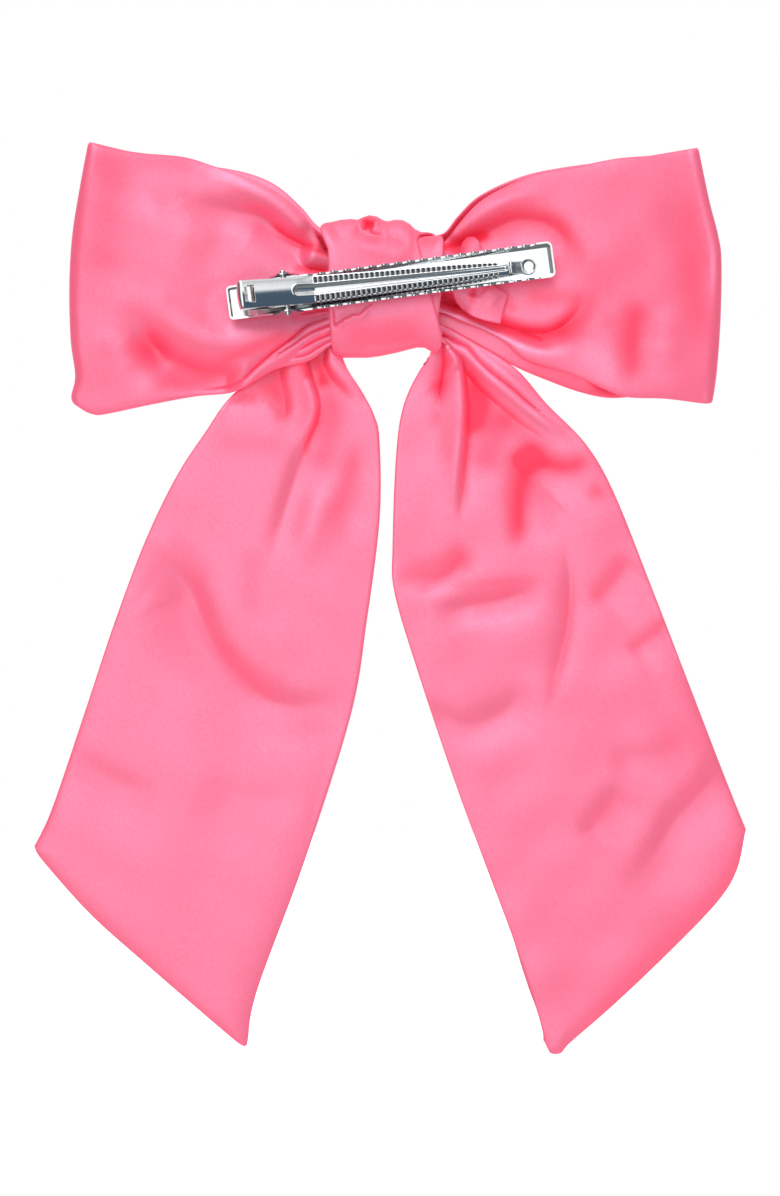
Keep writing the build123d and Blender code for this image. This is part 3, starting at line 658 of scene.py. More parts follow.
def tail(name, outline, folds, painted_shades, seed, inner_lift):
    """One tail, from inside the knot to its slanted end."""
    s = np.concatenate((np.linspace(0, 0.3, 80)[:-1], np.linspace(0.3, 0.975, 150)[:-1],
                        1 - 0.025 * np.cos(np.linspace(0, math.pi / 2, 16)) ** 1.5))
    t = edge_shares(TAIL_ROWS)
    flat = patch(outline["inner"], outline["outer"], outline["end"], s, t)
    run = s[:, None]
    hang = profile(TAIL_HANG, s)
    depth = hang + folds(flat) * ease(run / 0.05) + ripple(flat, seed, 22, 0.22) * ease(run / 0.3)
    depth = depth + inner_lift * (1 - ease(run / 0.12))
    middle = to_depth(flat, depth)
    side = edge_run(middle)
    end = run_from(middle, 0, back=True)
    puff = CLOTH_HALF + TAIL_PUFF * ease((run - 0.5) / 0.4)
    half = np.minimum(rounded(side, 0.9, CLOTH_HALF), puff)
    half = np.maximum(half, rounded(side, 9.0, puff))
    half = np.minimum(half, rounded(end, 5.0, puff))
    # Painted shade from the tail's marks, less a painted highlight of extra gloss over the whole tail.
    return sheet(name, middle, half, painted_shade=painted_shade_at(flat, painted_shades) - TAIL_PAINTED_SHEEN)


def make_tails():
    """Both tails of the satin strip."""
    left = tail("tail_left", LEFT_TAIL, left_tail_folds, LEFT_TAIL_PAINTED_SHADE, 21, 0.6)
    right = tail("tail_right", RIGHT_TAIL, right_tail_folds, RIGHT_TAIL_PAINTED_SHADE, 29, -1.2)
    return left, right


# ---------------------------------------------------------------- knot

WRAP_TOP = [(-16.9, 14.4), (-13.4, 14.9), (-11.3, 15.4), (-8.9, 15.6), (-7.2, 15.4), (-5.8, 16.1),
            (-4.4, 16.5),
            (-2.8, 16.2), (-1.3, 15.3), (0, 15), (1.7, 15.4), (3.5, 15.3), (5, 14.5), (6.3, 13.2),
            (8, 12.4), (13.5, 12.4)]
WRAP_BOTTOM = [(-16.9, -15.4), (-13.8, -16.0), (-11.6, -17.2), (-5, -17.2), (-1.9, -16.8), (2.3, -15.9),
               (5.3, -15.1),
               (7.1, -14.7), (9, -14.8), (10.4, -15.6), (11.6, -16.6), (13.5, -16.2)]
WRAP_LEFT = [(-17.2, -13.4), (-12, -13.9), (-6, -14.3), (6.3, -14.5), (9.1, -14.6), (11.5, -15.6),
             (15, -17.2)]
WRAP_RIGHT = [(-17, 11.2), (-14.5, 13.0), (-11.5, 13.1), (-7.9, 12.3), (-4.2, 11.4), (-2.7, 10.9),
              (7.9, 8.5), (10.9, 7.6),
              (12.7, 6.8), (15, 6.4)]
UNDER_RIGHT = [(-17, 11.0), (-5, 12.5), (5, 13.5), (15, 13.6)]
WRAP_BULGE = 2.6        # power of the wrap's section; 2 is an ellipse
WRAP_CENTRE_Z, WRAP_HALF_Z = -0.5, 15.8
WRAP_FRONT = (13.6, 12.8)   # how far the wrap reaches left and right on the bow's front


def wrap_layer(name, left, right, shrink, folds):
    """One turn of the wrap: a closed ring round the waist, its edges following the given lines."""
    low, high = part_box("centre_wrap")
    back_y, front_y = low.y / MM + 0.55 + shrink, high.y / MM - 0.4 - shrink
    angle = np.linspace(0, 2 * math.pi, 260, endpoint=False)[:, None]
    t = edge_shares(120)[None, :]
    side = rounded_box(np.cos(angle), 2 / WRAP_BULGE)
    rise = rounded_box(np.sin(angle), 2 / WRAP_BULGE)
    depth = 0.5 * (back_y + front_y) - 0.5 * (front_y - back_y) * side
    height = WRAP_CENTRE_Z + WRAP_HALF_Z * rise
    frontness = ease((depth - back_y) / (front_y - back_y))
    left_x = np.interp(height, *zip(*left)) * (1 - frontness) - WRAP_FRONT[0] * frontness
    right_x = np.interp(height, *zip(*right)) * (1 - frontness) + WRAP_FRONT[1] * frontness
    x = left_x + (right_x - left_x) * t
    top = np.interp(x, *zip(*WRAP_TOP)) - shrink
    bottom = np.interp(x, *zip(*WRAP_BOTTOM)) + shrink
    z = 0.5 * (top + bottom) + 0.5 * (top - bottom) * rise
    flat = np.stack((x, z), axis=-1)
    depth = np.broadcast_to(depth, x.shape)
    backness = ease((side + 0.1) / 0.5)
    pleats = 0.55 * np.cos(x * 1.15 + 0.8 * np.sin(z * 0.12)) + 0.35 * np.cos(x * 2.3 + 1.0)
    crown = 0.9 * (1 - (2 * t - 1) ** 2)
    depth = depth + folds(flat) * backness + (pleats + crown) * ease((-side + 0.1) / 0.5)
    middle = to_depth(flat, depth)
    edge = edge_run(middle)
    # Painted shade from the knot's marks, on the side that carries the clip.
    shade = painted_shade_at(flat, KNOT_PAINTED_SHADE) * backness
    return sheet(name, middle, rounded(edge, 0.8, 0.42), ring=True, painted_shade=shade)


def wrap_folds(flat):
    """Folds on the side of the knot that carries the clip."""
    depth = valley(flat, [(-5.8, 14.3), (-4.5, 14.4), (-3.2, 13.9)], 1.5, 0.9, fade=(0.35, 0.35))
    depth += slope(flat, [(-7.2, 15.2), (-5.6, 13.5), (-3.1, 12.5), (0.4, 12)],
                   0.7, 0.8, 2, fade=(0.3, 0.4))
    depth += ridge(flat, [(-7, 15), (-5.6, 15.6), (-3.4, 15.5), (-2, 14.2)], 0.4, 0.8, fade=(0.3, 0.3))
    depth += valley(flat, [(-1, 11.6), (2, 11.2), (5, 9.6)], 0.35, 1.3)
    depth += pleat(flat, [(-11.5, -9), (-9, -7.6), (-6.8, -7.2), (-5.2, -5.6), (-3, -4.6)],
                   -0.35, 0.25, 0.3, reach=1.6)
    depth += valley(flat, [(-13.1, -5), (-12.9, -11)], 0.25, 0.25)
    depth += valley(flat, [(-10, -14.5), (0, -14), (9, -12.5)], 0.7, 2.0)
    depth += ridge(flat, [(-9, 9), (-2, 8.6), (6, 6)], 0.3, 2.2)
    return depth


def no_folds(flat):
    """A flat layer."""
    return np.zeros(flat.shape[:-1])


def make_knot():
    """The wrap's two turns."""
    outer = wrap_layer("centre_wrap_outer", WRAP_LEFT, WRAP_RIGHT, 0.0, wrap_folds)
    under = wrap_layer("centre_wrap_under", [(-17, -13), (15, -13)], UNDER_RIGHT, 0.95, no_folds)
    return outer, under


FREE_END = {
    "inner": [(19.2, 11.6), (18.0, 10.2), (17.0, 7), (15.8, 2), (15.8, -2.3), (17.4, -5.2), (20.1, -7.3),
              (23.2, -8.5), (27.2, -9.4)],
    "outer": [(21.0, 11.6), (22.3, 10.2), (23.2, 7), (24, 3), (25.5, 0), (29.2, -2.0)],
    "end": [(27.2, -9.4), (28.2, -5.5), (29.2, -2.0)],
}
FREE_END_Y, FREE_END_HALF = 2.9, 0.36


def make_free_end():
    """The band's free end, which shows beside the knot under the clip."""
    s = edge_shares(60)
    t = edge_shares(50)
    flat = patch(FREE_END["inner"], FREE_END["outer"], FREE_END["end"], s, t)
    depth = FREE_END_Y + valley(flat, [(20.8, 0), (20.4, -3)], 0.5, 0.7) + ridge(flat, [(23, -1), (27, -4)],
                                                                                 0.2, 3)
    depth = depth + 0.72 * ease((flat[..., 0] - 24) / 8) + ripple(flat, 5, 6, 0.08)
    depth = depth + valley(flat, [(12, 0), (15, -3), (18, -6)], 1.2, 1.5, fade=(0, 0))
    middle = to_depth(flat, depth)
    side = edge_run(middle)
    end = run_from(middle, 0, back=True)
    half = np.minimum(rounded(side, 0.5, FREE_END_HALF), rounded(end, 0.5, FREE_END_HALF))
    # Painted shade from the free end's marks.
    return sheet("loop_band_free_end", middle, half, painted_shade=painted_shade_at(flat, FREE_END_PAINTED_SHADE))


def round_wire(name, path, radius, cyclic=False):
    """A thread or wire: a bevelled curve through points in mm, turned into a mesh."""
    data = bpy.data.curves.new(name, "CURVE")
    data.dimensions = "3D"
    data.bevel_depth = radius * MM
    data.bevel_resolution = 3
    data.use_fill_caps = True
    line = data.splines.new("POLY")
    line.points.add(len(path) - 1)
    for point, place in zip(line.points, path):
        point.co = (*(np.asarray(place) * MM), 1)
    line.use_cyclic_u = cyclic
    curve = bpy.data.objects.new(name + "_path", data)
    bpy.context.scene.collection.objects.link(curve)
    mesh = bpy.data.meshes.new_from_object(curve)
    bpy.data.objects.remove(curve)
    mesh.shade_smooth()
    made = bpy.data.objects.new(name, mesh)
    bpy.context.scene.collection.objects.link(made)
    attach(made, BOW)
    return made


THREAD_TURNS, THREAD_RADIUS = 5, 0.22


def make_gathering_thread():
    """Turns of thread round the waist, inside the wrap."""
    low, high = (np.array(corner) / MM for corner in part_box("gathering_thread"))
    centre, half = (low + high) / 2, (high - low) / 2
    angle = np.linspace(0, 2 * math.pi * THREAD_TURNS, 60 * THREAD_TURNS)
    x = np.linspace(low[0] + 1, high[0] - 1, len(angle))
    y = centre[1] + (half[1] - 0.4) * rounded_box(np.cos(angle), 0.6)
    z = centre[2] + (half[2] - 0.4) * rounded_box(np.sin(angle), 0.6)
    return round_wire("gathering_thread_turns", np.column_stack((x, y, z)), THREAD_RADIUS)


STITCHES = ((-11.6, -9.1, 25), (-9.8, -7.9, 10), (-8.0, -7.0, -5), (-6.1, -6.4, 30), (-4.6, -5.2, 40))
STITCH_HALF, STITCH_RADIUS = 1.05, 0.13     # STITCHES holds X, Z and tilt in degrees


def make_stitches():
    """Small tacking stitches along the wrap's lap beside the clip."""
    low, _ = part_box("centre_wrap")
    face = low.y / MM
    made = []
    for k, (x, z, turn) in enumerate(STITCHES):
        along = np.array((math.cos(math.radians(turn)), math.sin(math.radians(turn))))
        path = []
        for share in np.linspace(-1, 1, 13):
            px, pz = np.array((x, z)) + along * share * STITCH_HALF
            path.append((px, face - 0.12 + 0.75 * share ** 4, pz + 0.15 * (1 - share ** 2)))
        made.append(round_wire(f"tack_stitch_{k + 1}", path, STITCH_RADIUS))
    return made


GLUE_HALF_U, GLUE_HALF_V, GLUE_BULGE = 12.0, 2.8, 0.8


def make_glue():
    """The bead of glue under the clip, squeezed out a little round its edge."""
    low, high = (np.array(corner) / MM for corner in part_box("glue_pad"))
    centre, half = (low + high) / 2, (high - low) / 2
    angle = np.linspace(0, 2 * math.pi, 90, endpoint=False)
    wobble = 1 + 0.03 * np.sin(3 * angle + 1) + 0.02 * np.sin(7 * angle)
    rows = []
    for share in np.linspace(-1, 1, 9):
        bulge = math.sqrt(1 - 0.9 * share * share)
        inset = GLUE_BULGE * (1 - bulge)
        a = (GLUE_HALF_U - inset) * rounded_box(np.cos(angle), 0.4) * wobble
        b = (GLUE_HALF_V - inset) * rounded_box(np.sin(angle), 0.4) * wobble
        x = centre[0] + a * math.cos(CLIP_TILT) - b * math.sin(CLIP_TILT)
        z = centre[2] + a * math.sin(CLIP_TILT) + b * math.cos(CLIP_TILT)
        rows.append(np.column_stack((x, np.full_like(x, centre[1] + share * half[1] * 0.96), z)))
    points = np.vstack(rows)
    count = len(angle)
    faces = []
    for row in range(len(rows) - 1):
        for k in range(count):
            a, b = row * count + k, row * count + (k + 1) % count
            faces.append([a, b, b + count, a + count])
    faces.append(list(range(count)))
    faces.append(list(range((len(rows) - 1) * count, len(rows) * count))[::-1])
    return mesh_object("glue_bead", points, faces)


# ---------------------------------------------------------------- lever and spring

PLATE_SIDE = [(-35.9, 8.1), (-35.5, 9.3), (-18.4, 4.4), (29.3, 1.25), (30.2, 0.75), (31.9, 0.12),
              (35.5, 0.12)]
PLATE_HALVES = [(-36, 3.35), (-18.4, 3.25), (3, 2.62), (15, 2.35), (22, 2.0), (29.3, 1.45), (29.4, 1.45),
                (40, 1.45)]
SPOON_U, SPOON_RADIUS, SPOON_FLAT, SPOON_RISE = 33.6, 1.9, 1.1, 0.35
GROOVE_U, GROOVE_HALVES, GROOVE_DEPTH = (-23.5, 28.6), (1.3, 0.62), 0.5
TOOTH_U, TOOTH_PITCH, TOOTH_COUNT, TOOTH_DEPTH, TOOTH_GAP = -17.8, 1.24, 36, 0.6, 0.3
TOOTH_LAND = 0.25               # plain strip on each side of a row of teeth
BAR_U, BAR_RADIUS = 29.3, 0.35
HOOK_SLOT = (-33.1, 0.7, 1.95)  # middle u and half sizes along u and v
HOOK_FACE_Y = -8.6              # the spring's hook is what lies nearer the viewer than this
FLANGE_U, FLANGE_V, FLANGE_RADIUS = (-30.0, -20.8), (2.9, 3.3), 1.5


def from_clip(u, v, n, skew=0.0):
    """Frame points of places in the clip's own frame, with the plate's skew about the hinge."""
    u, v = (HINGE[0] + (u - HINGE[0]) * math.cos(skew) - v * math.sin(skew),
            (u - HINGE[0]) * math.sin(skew) + v * math.cos(skew))
    x = CLIP_MIDDLE[0] + u * math.cos(CLIP_TILT) - v * math.sin(CLIP_TILT)
    z = CLIP_MIDDLE[1] + u * math.sin(CLIP_TILT) + v * math.cos(CLIP_TILT)
    return np.stack(np.broadcast_arrays(x, -n, z), axis=-1)


def plate_half_width(u):
    """Half the width of the lever's plate, with the round spoon at its tip."""
    spoon = np.sqrt(np.clip(SPOON_RADIUS ** 2 - (u - SPOON_U) ** 2, 0, None))
    neck = np.where(u < SPOON_U, np.interp(u, *zip(*PLATE_HALVES)), 0)
    return np.maximum(np.maximum(neck, spoon), 0.02)


def tooth_gaps(u, v, half):
    """Where the gaps between teeth are (1 in their middle), and where the two rows of teeth are."""
    tooth = (u - TOOTH_U) / TOOTH_PITCH
    from_gap = (tooth - np.round(tooth)) * TOOTH_PITCH
    gaps = np.exp(-(from_gap / TOOTH_GAP) ** 2)
    beside_groove = np.abs(v) - np.interp(u, GROOVE_U, GROOVE_HALVES) - TOOTH_LAND
    inside_edge = half - TOOTH_LAND - np.abs(v)
    rows = ease(beside_groove / 0.15) * ease(inside_edge / 0.15)
    return gaps, rows * (tooth > -0.5) * (tooth < TOOTH_COUNT - 0.5)


def plate_relief(u, v, half):
    """What is pressed into the lever's plate: a crown, the groove, the teeth, the end bar and the spoon."""
    share = v / half
    on_handle = 1 - ease((u - TOOTH_U + 5) / 4)
    relief = (0.06 + 0.26 * on_handle) * (1 - share ** 2) - 0.12 * share ** 14
    groove_half = np.interp(u, GROOVE_U, GROOVE_HALVES)
    beyond = np.maximum(GROOVE_U[0] + GROOVE_HALVES[0] - u, u - GROOVE_U[1] + GROOVE_HALVES[1])
    from_groove = np.hypot(np.maximum(beyond, 0), v)
    relief -= GROOVE_DEPTH * (1 - ease((from_groove / groove_half - 0.25) / 0.75))
    relief += 0.1 * np.exp(-((from_groove - groove_half - 0.12) / 0.16) ** 2)
    gaps, rows = tooth_gaps(u, v, half)
    relief += (0.12 * (1 - gaps) - TOOTH_DEPTH * gaps) * rows
    relief += np.sqrt(np.clip(BAR_RADIUS ** 2 - (u - BAR_U) ** 2, 0, None))
    from_spoon = np.hypot(u - SPOON_U, v)
    up_the_rim = ease((from_spoon - SPOON_FLAT) / (SPOON_RADIUS - SPOON_FLAT))
    return relief + SPOON_RISE * up_the_rim * (u > SPOON_U - 1.6)


def paint_gap_shade(piece):
    """Stores how deep each point lies in a gap between teeth, for the painted shade there."""
    count = len(piece.data.vertices)
    points = np.empty(3 * count)
    piece.data.vertices.foreach_get("co", points)
    away = points.reshape(-1, 3) / MM - from_clip(HINGE[0], 0.0, 0.0)
    turn = CLIP_TILT + PLATE_SKEW
    u = HINGE[0] + away[:, 0] * math.cos(turn) + away[:, 2] * math.sin(turn)
    v = away[:, 2] * math.cos(turn) - away[:, 0] * math.sin(turn)
    gaps, rows = tooth_gaps(u, v, plate_half_width(u))
    depth = piece.data.attributes.new("gap", "FLOAT", "POINT")
    depth.data.foreach_set("value", gaps ** 2 * rows)


def cut_slot(piece):
    """Opens the slot that the spring's end hooks through."""
    middle_u, half_u, half_v = HOOK_SLOT
    build = bmesh.new()
    build.from_mesh(piece.data)
    origin = from_clip(middle_u, 0.0, 0.0, PLATE_SKEW)
    along = np.array((math.cos(CLIP_TILT + PLATE_SKEW), 0, math.sin(CLIP_TILT + PLATE_SKEW)))
    across = np.array((-along[2], 0, along[0]))
    inside = []
    for face in build.faces:
        place = np.array(face.calc_center_median()) / MM - origin
        if abs(place @ along) < half_u and abs(place @ across) < half_v:
            inside.append(face)
    bmesh.ops.delete(build, geom=inside, context="FACES")
    rims = [edge for edge in build.edges if edge.is_boundary]
    bmesh.ops.bridge_loops(build, edges=rims)
    bmesh.ops.recalc_face_normals(build, faces=build.faces)
    build.to_mesh(piece.data)
    build.free()


def make_plate():
    """The lever's plate: handle, grip teeth and spoon pressed from one sheet."""
    corners = np.array(PLATE_SIDE)
    steps = np.linalg.norm(np.diff(corners, axis=0), axis=1)
    length = np.concatenate(([0], np.cumsum(steps)))
    even = np.arange(0, length[-1], TOOTH_PITCH / 10)
    line = np.column_stack([np.interp(even, length, corners[:, k]) for k in (0, 1)])
    window = np.hanning(9) / np.hanning(9).sum()
    line[4:-4] = np.column_stack([np.convolve(line[:, k], window, "valid") for k in (0, 1)])
    tangent = np.gradient(line, axis=0)
    tangent /= np.linalg.norm(tangent, axis=1, keepdims=True)
    out_u, out_n = -tangent[:, 1:], tangent[:, :1]

    t = edge_shares(56)[None, :]
    u, n = line[:, :1], line[:, 1:]
    half = plate_half_width(u)
    v = half * (2 * t - 1)
    rise = SHEET / 2 + plate_relief(u + 0 * v, v, half)
    middle = from_clip(u + out_u * rise, v, n + out_n * rise, PLATE_SKEW)
    normal = from_clip(u + out_u + 0 * v, v, n + out_n, PLATE_SKEW) - from_clip(u + 0 * v, v, n, PLATE_SKEW)
    plate = sheet("lever_plate", middle, np.full(v.shape, SHEET / 2), LEVER, normal=normal)
    cut_slot(plate)
    paint_gap_shade(plate)
    return plate


def make_flanges():
    """The lever's two flanges, which turn on the pin."""
    feet = [(u, np.interp(u, *zip(*PLATE_SIDE[1:4])) + SHEET / 2) for u in FLANGE_U]
    angles = []
    for foot, side in zip(feet, (1, -1)):
        gap = np.subtract(foot, HINGE)
        angles.append(math.atan2(gap[1], gap[0]) + side * math.acos(FLANGE_RADIUS / np.hypot(*gap)))
    bottom = [(HINGE[0] + FLANGE_RADIUS * math.cos(a), HINGE[1] + FLANGE_RADIUS * math.sin(a))
              for a in np.linspace(angles[0], angles[1] + 2 * math.pi, 16)]
    outline = np.array([feet[0]] + bottom + [feet[1]])
    count = len(outline)
    made = []
    for name, side in (("lever_flange_upper", 1), ("lever_flange_lower", -1)):
        layers = [from_clip(outline[:, 0], np.full(count, side * v), outline[:, 1]) for v in FLANGE_V]
        faces = [list(range(count))[::-1], list(range(count, 2 * count))]
        for k in range(count):
            faces.append([k, (k + 1) % count, count + (k + 1) % count, count + k])
        flange = mesh_object(name, np.vstack(layers), faces, LEVER)
        flange.data.shade_flat()
        made.append(flange)
    return made


def make_leaf_spring():
    """The leaf spring, as a finer copy of the CAD one, because it bends between the jaws."""
    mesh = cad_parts["leaf_spring"].data.copy()
    build = bmesh.new()
    build.from_mesh(mesh)
    bmesh.ops.remove_doubles(build, verts=build.verts, dist=1e-6)
    for _ in range(3):
        long_edges = [e for e in build.edges if e.calc_length() > 1.2 * MM]
        bmesh.ops.subdivide_edges(build, edges=long_edges, cuts=1)
        bmesh.ops.triangulate(build, faces=build.faces)
    hook = from_clip(HOOK_SLOT[0], 0.0, 0.0, PLATE_SKEW)
    for vert in build.verts:
        if vert.co.y < HOOK_FACE_Y * MM:
            away = (np.array(vert.co) / MM - hook)
            share = (away[0] * math.cos(CLIP_TILT) + away[2] * math.sin(CLIP_TILT)) / HOOK_SLOT[1]
            vert.co.y -= 0.25 * MM * float(np.clip(1.4 + share, 0, 2))
    build.to_mesh(mesh)
    build.free()
    spring = bpy.data.objects.new("leaf_spring_bent", mesh)
    bpy.context.scene.collection.objects.link(spring)
    return spring


# ---------------------------------------------------------------- materials

def node_tools(tree):
    """Helpers that add nodes to a tree. Their values are numbers, colours, or other nodes' outputs."""
    def add(kind, entries, **settings):
        node = tree.nodes.new(kind)
        for key, value in settings.items():
            setattr(node, key, value)
        feed(node, entries)
        return node

    def feed(node, entries):
        for key, value in entries.items():
            if isinstance(value, bpy.types.NodeSocket):
                tree.links.new(value, node.inputs[key])
            else:
                node.inputs[key].default_value = value

    def mix(factor, a, b):
        entries = {"Factor": factor, "A": a, "B": b}
        return add("ShaderNodeMix", entries, data_type="RGBA").outputs["Result"]

    def combine(operation, a, b=0.0):
        return add("ShaderNodeMath", {0: a, 1: b}, operation=operation).outputs[0]

    def ramp(value, source, target, **settings):
        entries = {"Value": value, "From Min": source[0], "From Max": source[1], "To Min": target[0],
                   "To Max": target[1]}
        return add("ShaderNodeMapRange", entries, **settings).outputs["Result"]

    return add, feed, mix, combine, ramp


class Material:
    """A node material on one Principled shader, with helpers for what its textures repeat."""

    def __init__(self, name):
        self.data = bpy.data.materials.new(name)
        self.data.use_nodes = True
        self.add, self.feed, self.mix, self.combine, self.ramp = node_tools(self.data.node_tree)
        self.shader = self.data.node_tree.nodes["Principled BSDF"]

    def finish(self, **entries):
        """Feeds the shader and gives the material. Names have _ for a space."""
        self.feed(self.shader, {key.replace("_", " "): value for key, value in entries.items()})
        return self.data

    def place(self, stretch=None):
        """Object coordinates, or coordinates scaled by stretch."""
        place = self.add("ShaderNodeTexCoord", {}).outputs["Object"]
        if stretch is None:
            return place
        return self.add("ShaderNodeMapping", {"Vector": place, "Scale": stretch}).outputs["Vector"]

    def noise(self, scale, detail, stretch=None):
        entries = {"Vector": self.place(stretch), "Scale": scale, "Detail": detail}
        return self.add("ShaderNodeTexNoise", entries).outputs["Fac"]

    def mark(self, attribute):
        """The value that the mesh stores under a name, nil where it stores none."""
        return self.add("ShaderNodeAttribute", {}, attribute_name=attribute).outputs["Fac"]

    def bump(self, height, strength, distance, **entries):
        entries = {"Height": height, "Strength": strength, "Distance": distance, **entries}
        return self.add("ShaderNodeBump", entries).outputs["Normal"]


SATIN_COLOUR = (1.0, 0.062, 0.13, 1)
SATIN_DEEP = (0.99, 0.050, 0.11, 1)
# Painted shade: the satin's deeper colour where folds are marked as shaded.
SATIN_PAINTED_SHADE = (0.97, 0.036, 0.085, 1)
SATIN_GLOSS_TINT = (1.0, 0.68, 1.0, 1)
SATIN_GLOSS = (0.5, 0.06)           # on open cloth and where the painted shade is full
SATIN_GRAIN = (0.75, 1.25)          # how much the gloss varies from thread to thread
# Painted shade in the gaps between the lever's teeth: near black.
TOOTH_GAP_PAINTED_SHADE = (0.03, 0.035, 0.04, 1)


def satin():
    """Pink satin: soft sheen, a fine weave, and faint slubs. Its colour deepens and its gloss drops where
    painted shade is marked; a negative mark is a painted highlight with more gloss.
    """
    cloth = Material("pink_satin")
    painted_shade = cloth.mark("painted_shade")
    # Painted shade: the stored mark deepens the colour and cuts the gloss; a negative mark is a painted
    # highlight with more gloss.
    colour = cloth.mix(painted_shade, cloth.mix(cloth.noise(90.0, 3.0), SATIN_DEEP, SATIN_COLOUR), SATIN_PAINTED_SHADE)
    gloss = cloth.ramp(painted_shade, (1, 0), SATIN_GLOSS[::-1], clamp=False)
    grain = cloth.ramp(cloth.noise(1400.0, 2.0), (0, 1), SATIN_GRAIN)
    threads = cloth.noise(1.0, 2.0, (2600, 2600, 700))
    slubs = cloth.noise(1.0, 2.0, (900, 900, 120))
    weave = cloth.bump(cloth.combine("ADD", threads, slubs), 0.26, 0.00006)
    return cloth.finish(Base_Color=colour, Specular_IOR_Level=cloth.combine("MULTIPLY", gloss, grain),
                        Roughness=0.5, IOR=3.3, Specular_Tint=SATIN_GLOSS_TINT, Normal=weave)


def thread():
    """Twisted sewing thread in the satin's colour."""
    sewing = Material("pink_thread")
    entries = {"Vector": sewing.place(), "Scale": 900.0, "Distortion": 2.0}
    twist = sewing.add("ShaderNodeTexWave", entries).outputs["Fac"]
    colour = sewing.mix(twist, (0.75, 0.05, 0.12, 1), (0.95, 0.13, 0.24, 1))
    return sewing.finish(Base_Color=colour, Roughness=0.6, Normal=sewing.bump(twist, 0.4, 0.00005))


def plated_metal(name, colour, roughness, wave):
    """Bright plated steel: faint rolling lines, scratches and waviness, and near-black painted shade in the
    marked gaps between teeth.
    """
    metal = Material(name)
    scratches = metal.noise(1.0, 4.0, (5200, 600, 240))
    tone = metal.mix(scratches, tuple(0.86 * c for c in colour) + (1,), colour + (1,))
    rough = metal.ramp(scratches, (0, 1), (roughness * 0.6, roughness * 1.6))
    fine = metal.bump(scratches, 0.06, 0.00001)
    broad = metal.bump(metal.noise(wave, 1.0), 0.1, 0.0001, Normal=fine)
    # Painted shade: the colour darkens to near black in the gaps between teeth.
    return metal.finish(Base_Color=metal.mix(metal.mark("gap"), tone, TOOTH_GAP_PAINTED_SHADE), Roughness=rough,
                        Metallic=1.0, Normal=broad)


def glue():
    """Set hot glue: milky and faintly uneven."""
    bead = Material("set_glue")
    cloud = bead.noise(400.0, 2.0)
    colour = bead.mix(cloud, (0.78, 0.74, 0.68, 1), (0.9, 0.88, 0.84, 1))
    return bead.finish(Base_Color=colour, Roughness=0.3, Transmission_Weight=0.2,
                       Normal=bead.bump(cloud, 0.3, 0.0001))


def dress(obj, material):
    """Gives an object one material in every slot."""
    if not obj.data.materials:
        obj.data.materials.append(material)
    for k in range(len(obj.data.materials)):
        obj.data.materials[k] = material


# ---------------------------------------------------------------- studio

WHITE = (1, 1, 1, 1)
STUDIO_BRIGHT = (1.35, 1.35, 1.35, 1)       # what metal sees straight in front and behind
STUDIO_SIDE = (0.12, 0.13, 0.14, 1)
STUDIO_ABOVE = (0.85, 0.85, 0.85, 1)
STUDIO_BELOW = (0.22, 0.24, 0.24, 1)
STUDIO_BAND = (0.07, 0.11, 0.16, 1)


def make_world():
    """A white studio. Metal sees a dark band beside the camera; cloth is lit by soft white."""
    world = bpy.data.worlds.new("studio")
    bpy.context.scene.world = world
    world.use_nodes = True
    tree = world.node_tree
    tree.nodes.clear()
    add, _, mix, combine, ramp = node_tools(tree)

    def between(value, low, high, soft):
        rising = ramp(value, (low, low + soft), (0, 1), interpolation_type="SMOOTHSTEP")
        falling = ramp(value, (high, high + soft), (1, 0), interpolation_type="SMOOTHSTEP")
        return combine("MULTIPLY", rising, falling)

    def background(colour):
        return add("ShaderNodeBackground", {"Color": colour}).outputs[0]

    def choose(ray, otherwise, chosen):
        entries = {0: rays.outputs[ray], 1: otherwise, 2: chosen}
        return add("ShaderNodeMixShader", entries).outputs[0]

    direction = add("ShaderNodeTexCoord", {}).outputs["Generated"]
    x, y, z = add("ShaderNodeSeparateXYZ", {0: direction}).outputs
    behind = between(y, -2, -0.3, 0.2)
    beside = combine("MULTIPLY", between(x, 0.08, 0.66, 0.10), between(z, -0.70, 0.22, 0.12))
    facing = between(combine("ABSOLUTE", y), 0.58, 2, 0.36)
    colour = mix(facing, STUDIO_SIDE, STUDIO_BRIGHT)
    colour = mix(between(z, 0.45, 2, 0.3), colour, STUDIO_ABOVE)
    colour = mix(between(z, -2, -0.45, 0.3), colour, STUDIO_BELOW)
    colour = mix(combine("MULTIPLY", behind, beside), colour, STUDIO_BAND)
    rays = add("ShaderNodeLightPath", {})
    light = choose("Is Glossy Ray", background(WHITE), background(colour))
    seen = choose("Is Camera Ray", light, background(WHITE))
    add("ShaderNodeOutputWorld", {0: seen})


def area_light(name, place, target, size, power):
    """A square soft light aimed at a point."""
    data = bpy.data.lights.new(name, "AREA")
    data.size = size
    data.energy = power
    light = bpy.data.objects.new(name, data)
    light.location = place
    aim = np.array(target) - np.array(place)
    light.rotation_euler = Vector(aim).to_track_quat("-Z", "Y").to_euler()
    bpy.context.scene.collection.objects.link(light)
    return light


FLOOR_DROP = 6 * MM     # from the tails' lowest point to the floor


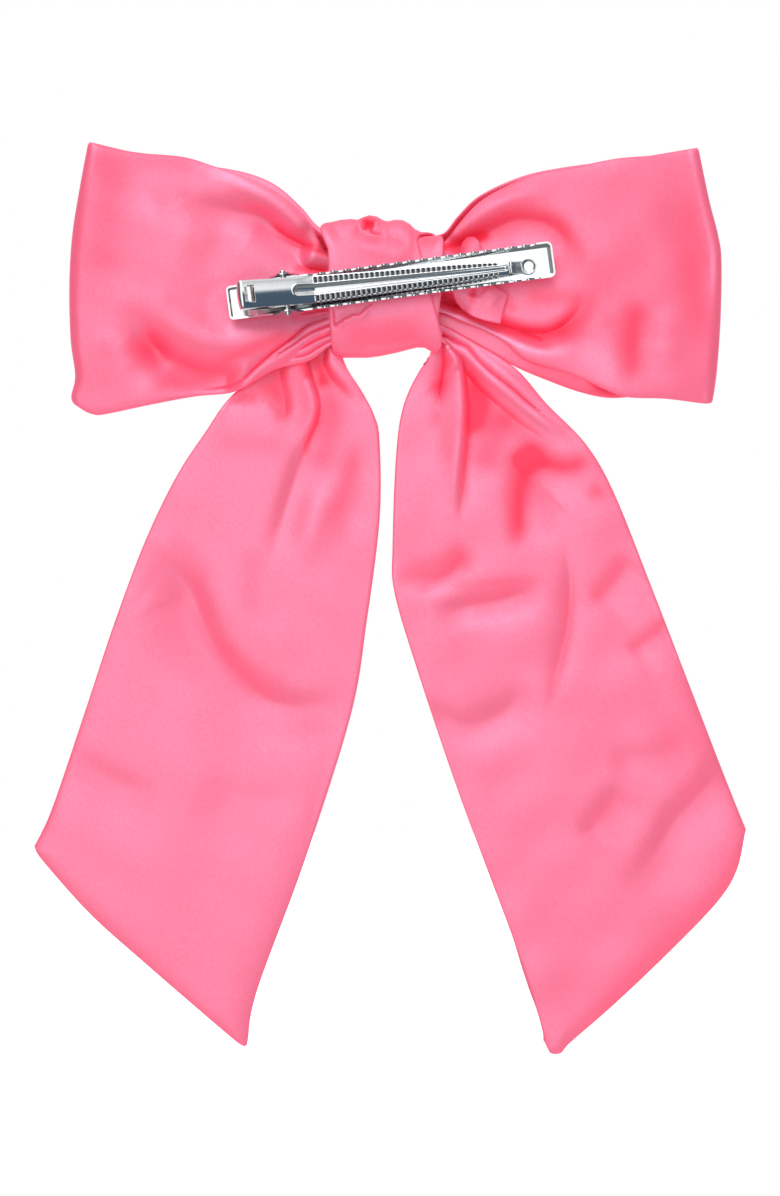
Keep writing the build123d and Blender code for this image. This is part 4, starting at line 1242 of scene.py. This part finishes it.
def make_floor():
    """A pale plate under the tails' ends."""
    floor_z = CAD_BOUNDS[0].z - FLOOR_DROP
    mesh = bpy.data.meshes.new("floor")
    corners = [(-0.45, -0.35, floor_z), (0.45, -0.35, floor_z), (0.45, 0.45, floor_z), (-0.45, 0.45,
                                                                                        floor_z)]
    mesh.from_pydata(corners, [], [(0, 1, 2, 3)])
    floor = bpy.data.objects.new("floor", mesh)
    bpy.context.scene.collection.objects.link(floor)
    pale = (0.92, 0.92, 0.92, 1)
    white = Material("floor_white")
    mesh.materials.append(white.finish(Base_Color=pale, Roughness=0.9, Emission_Color=WHITE,
                                       Emission_Strength=0.55))
    floor.visible_glossy = False


def make_camera():
    """The camera at the eye, level, looking along +Y."""
    data = bpy.data.cameras.new("camera")
    data.sensor_width = 36
    data.lens = FOCAL_MM
    data.clip_start = 0.01
    camera = bpy.data.objects.new("camera", data)
    camera.location = EYE * MM
    camera.rotation_euler = (math.pi / 2, 0, 0)
    bpy.context.scene.collection.objects.link(camera)
    bpy.context.scene.camera = camera


# ---------------------------------------------------------------- assembly

def main():
    """Builds every piece, dresses it and lights it."""
    cloth = satin()
    sewing = thread()
    plated = plated_metal("nickel_plate", (0.84, 0.86, 0.87), 0.09, 260.0)
    spring_metal = plated_metal("spring_steel_bright", (0.82, 0.82, 0.80), 0.22, 300.0)

    for piece in make_loops() + (make_free_end(),):
        dress(piece, cloth)
        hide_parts("loop_band")
    for piece in make_tails():
        dress(piece, cloth)
        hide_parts("tail_strip")
    for piece in make_knot():
        dress(piece, cloth)
        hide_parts("centre_wrap")
    turns = make_gathering_thread()
    dress(turns, sewing)
    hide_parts("gathering_thread")
    for stitch in make_stitches():
        dress(stitch, sewing)
        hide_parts("tack_stitches")
    bead = make_glue()
    dress(bead, glue())
    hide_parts("glue_pad")
    spring = make_leaf_spring()
    dress(spring, spring_metal)
    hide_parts("leaf_spring")
    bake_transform(spring)

    for piece in [make_plate()] + make_flanges():
        dress(piece, plated)
        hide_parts("lever_jaw")
    for node in ("base_jaw", "hinge_pin"):
        dress(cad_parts[node], plated)

    make_world()
    area_light("key", place=(-0.15, -0.75, 0.75), target=(0, 0, -0.06), size=0.7, power=3.0)
    make_floor()
    make_camera()
    bpy.context.scene.view_settings.view_transform = "Standard"


main()
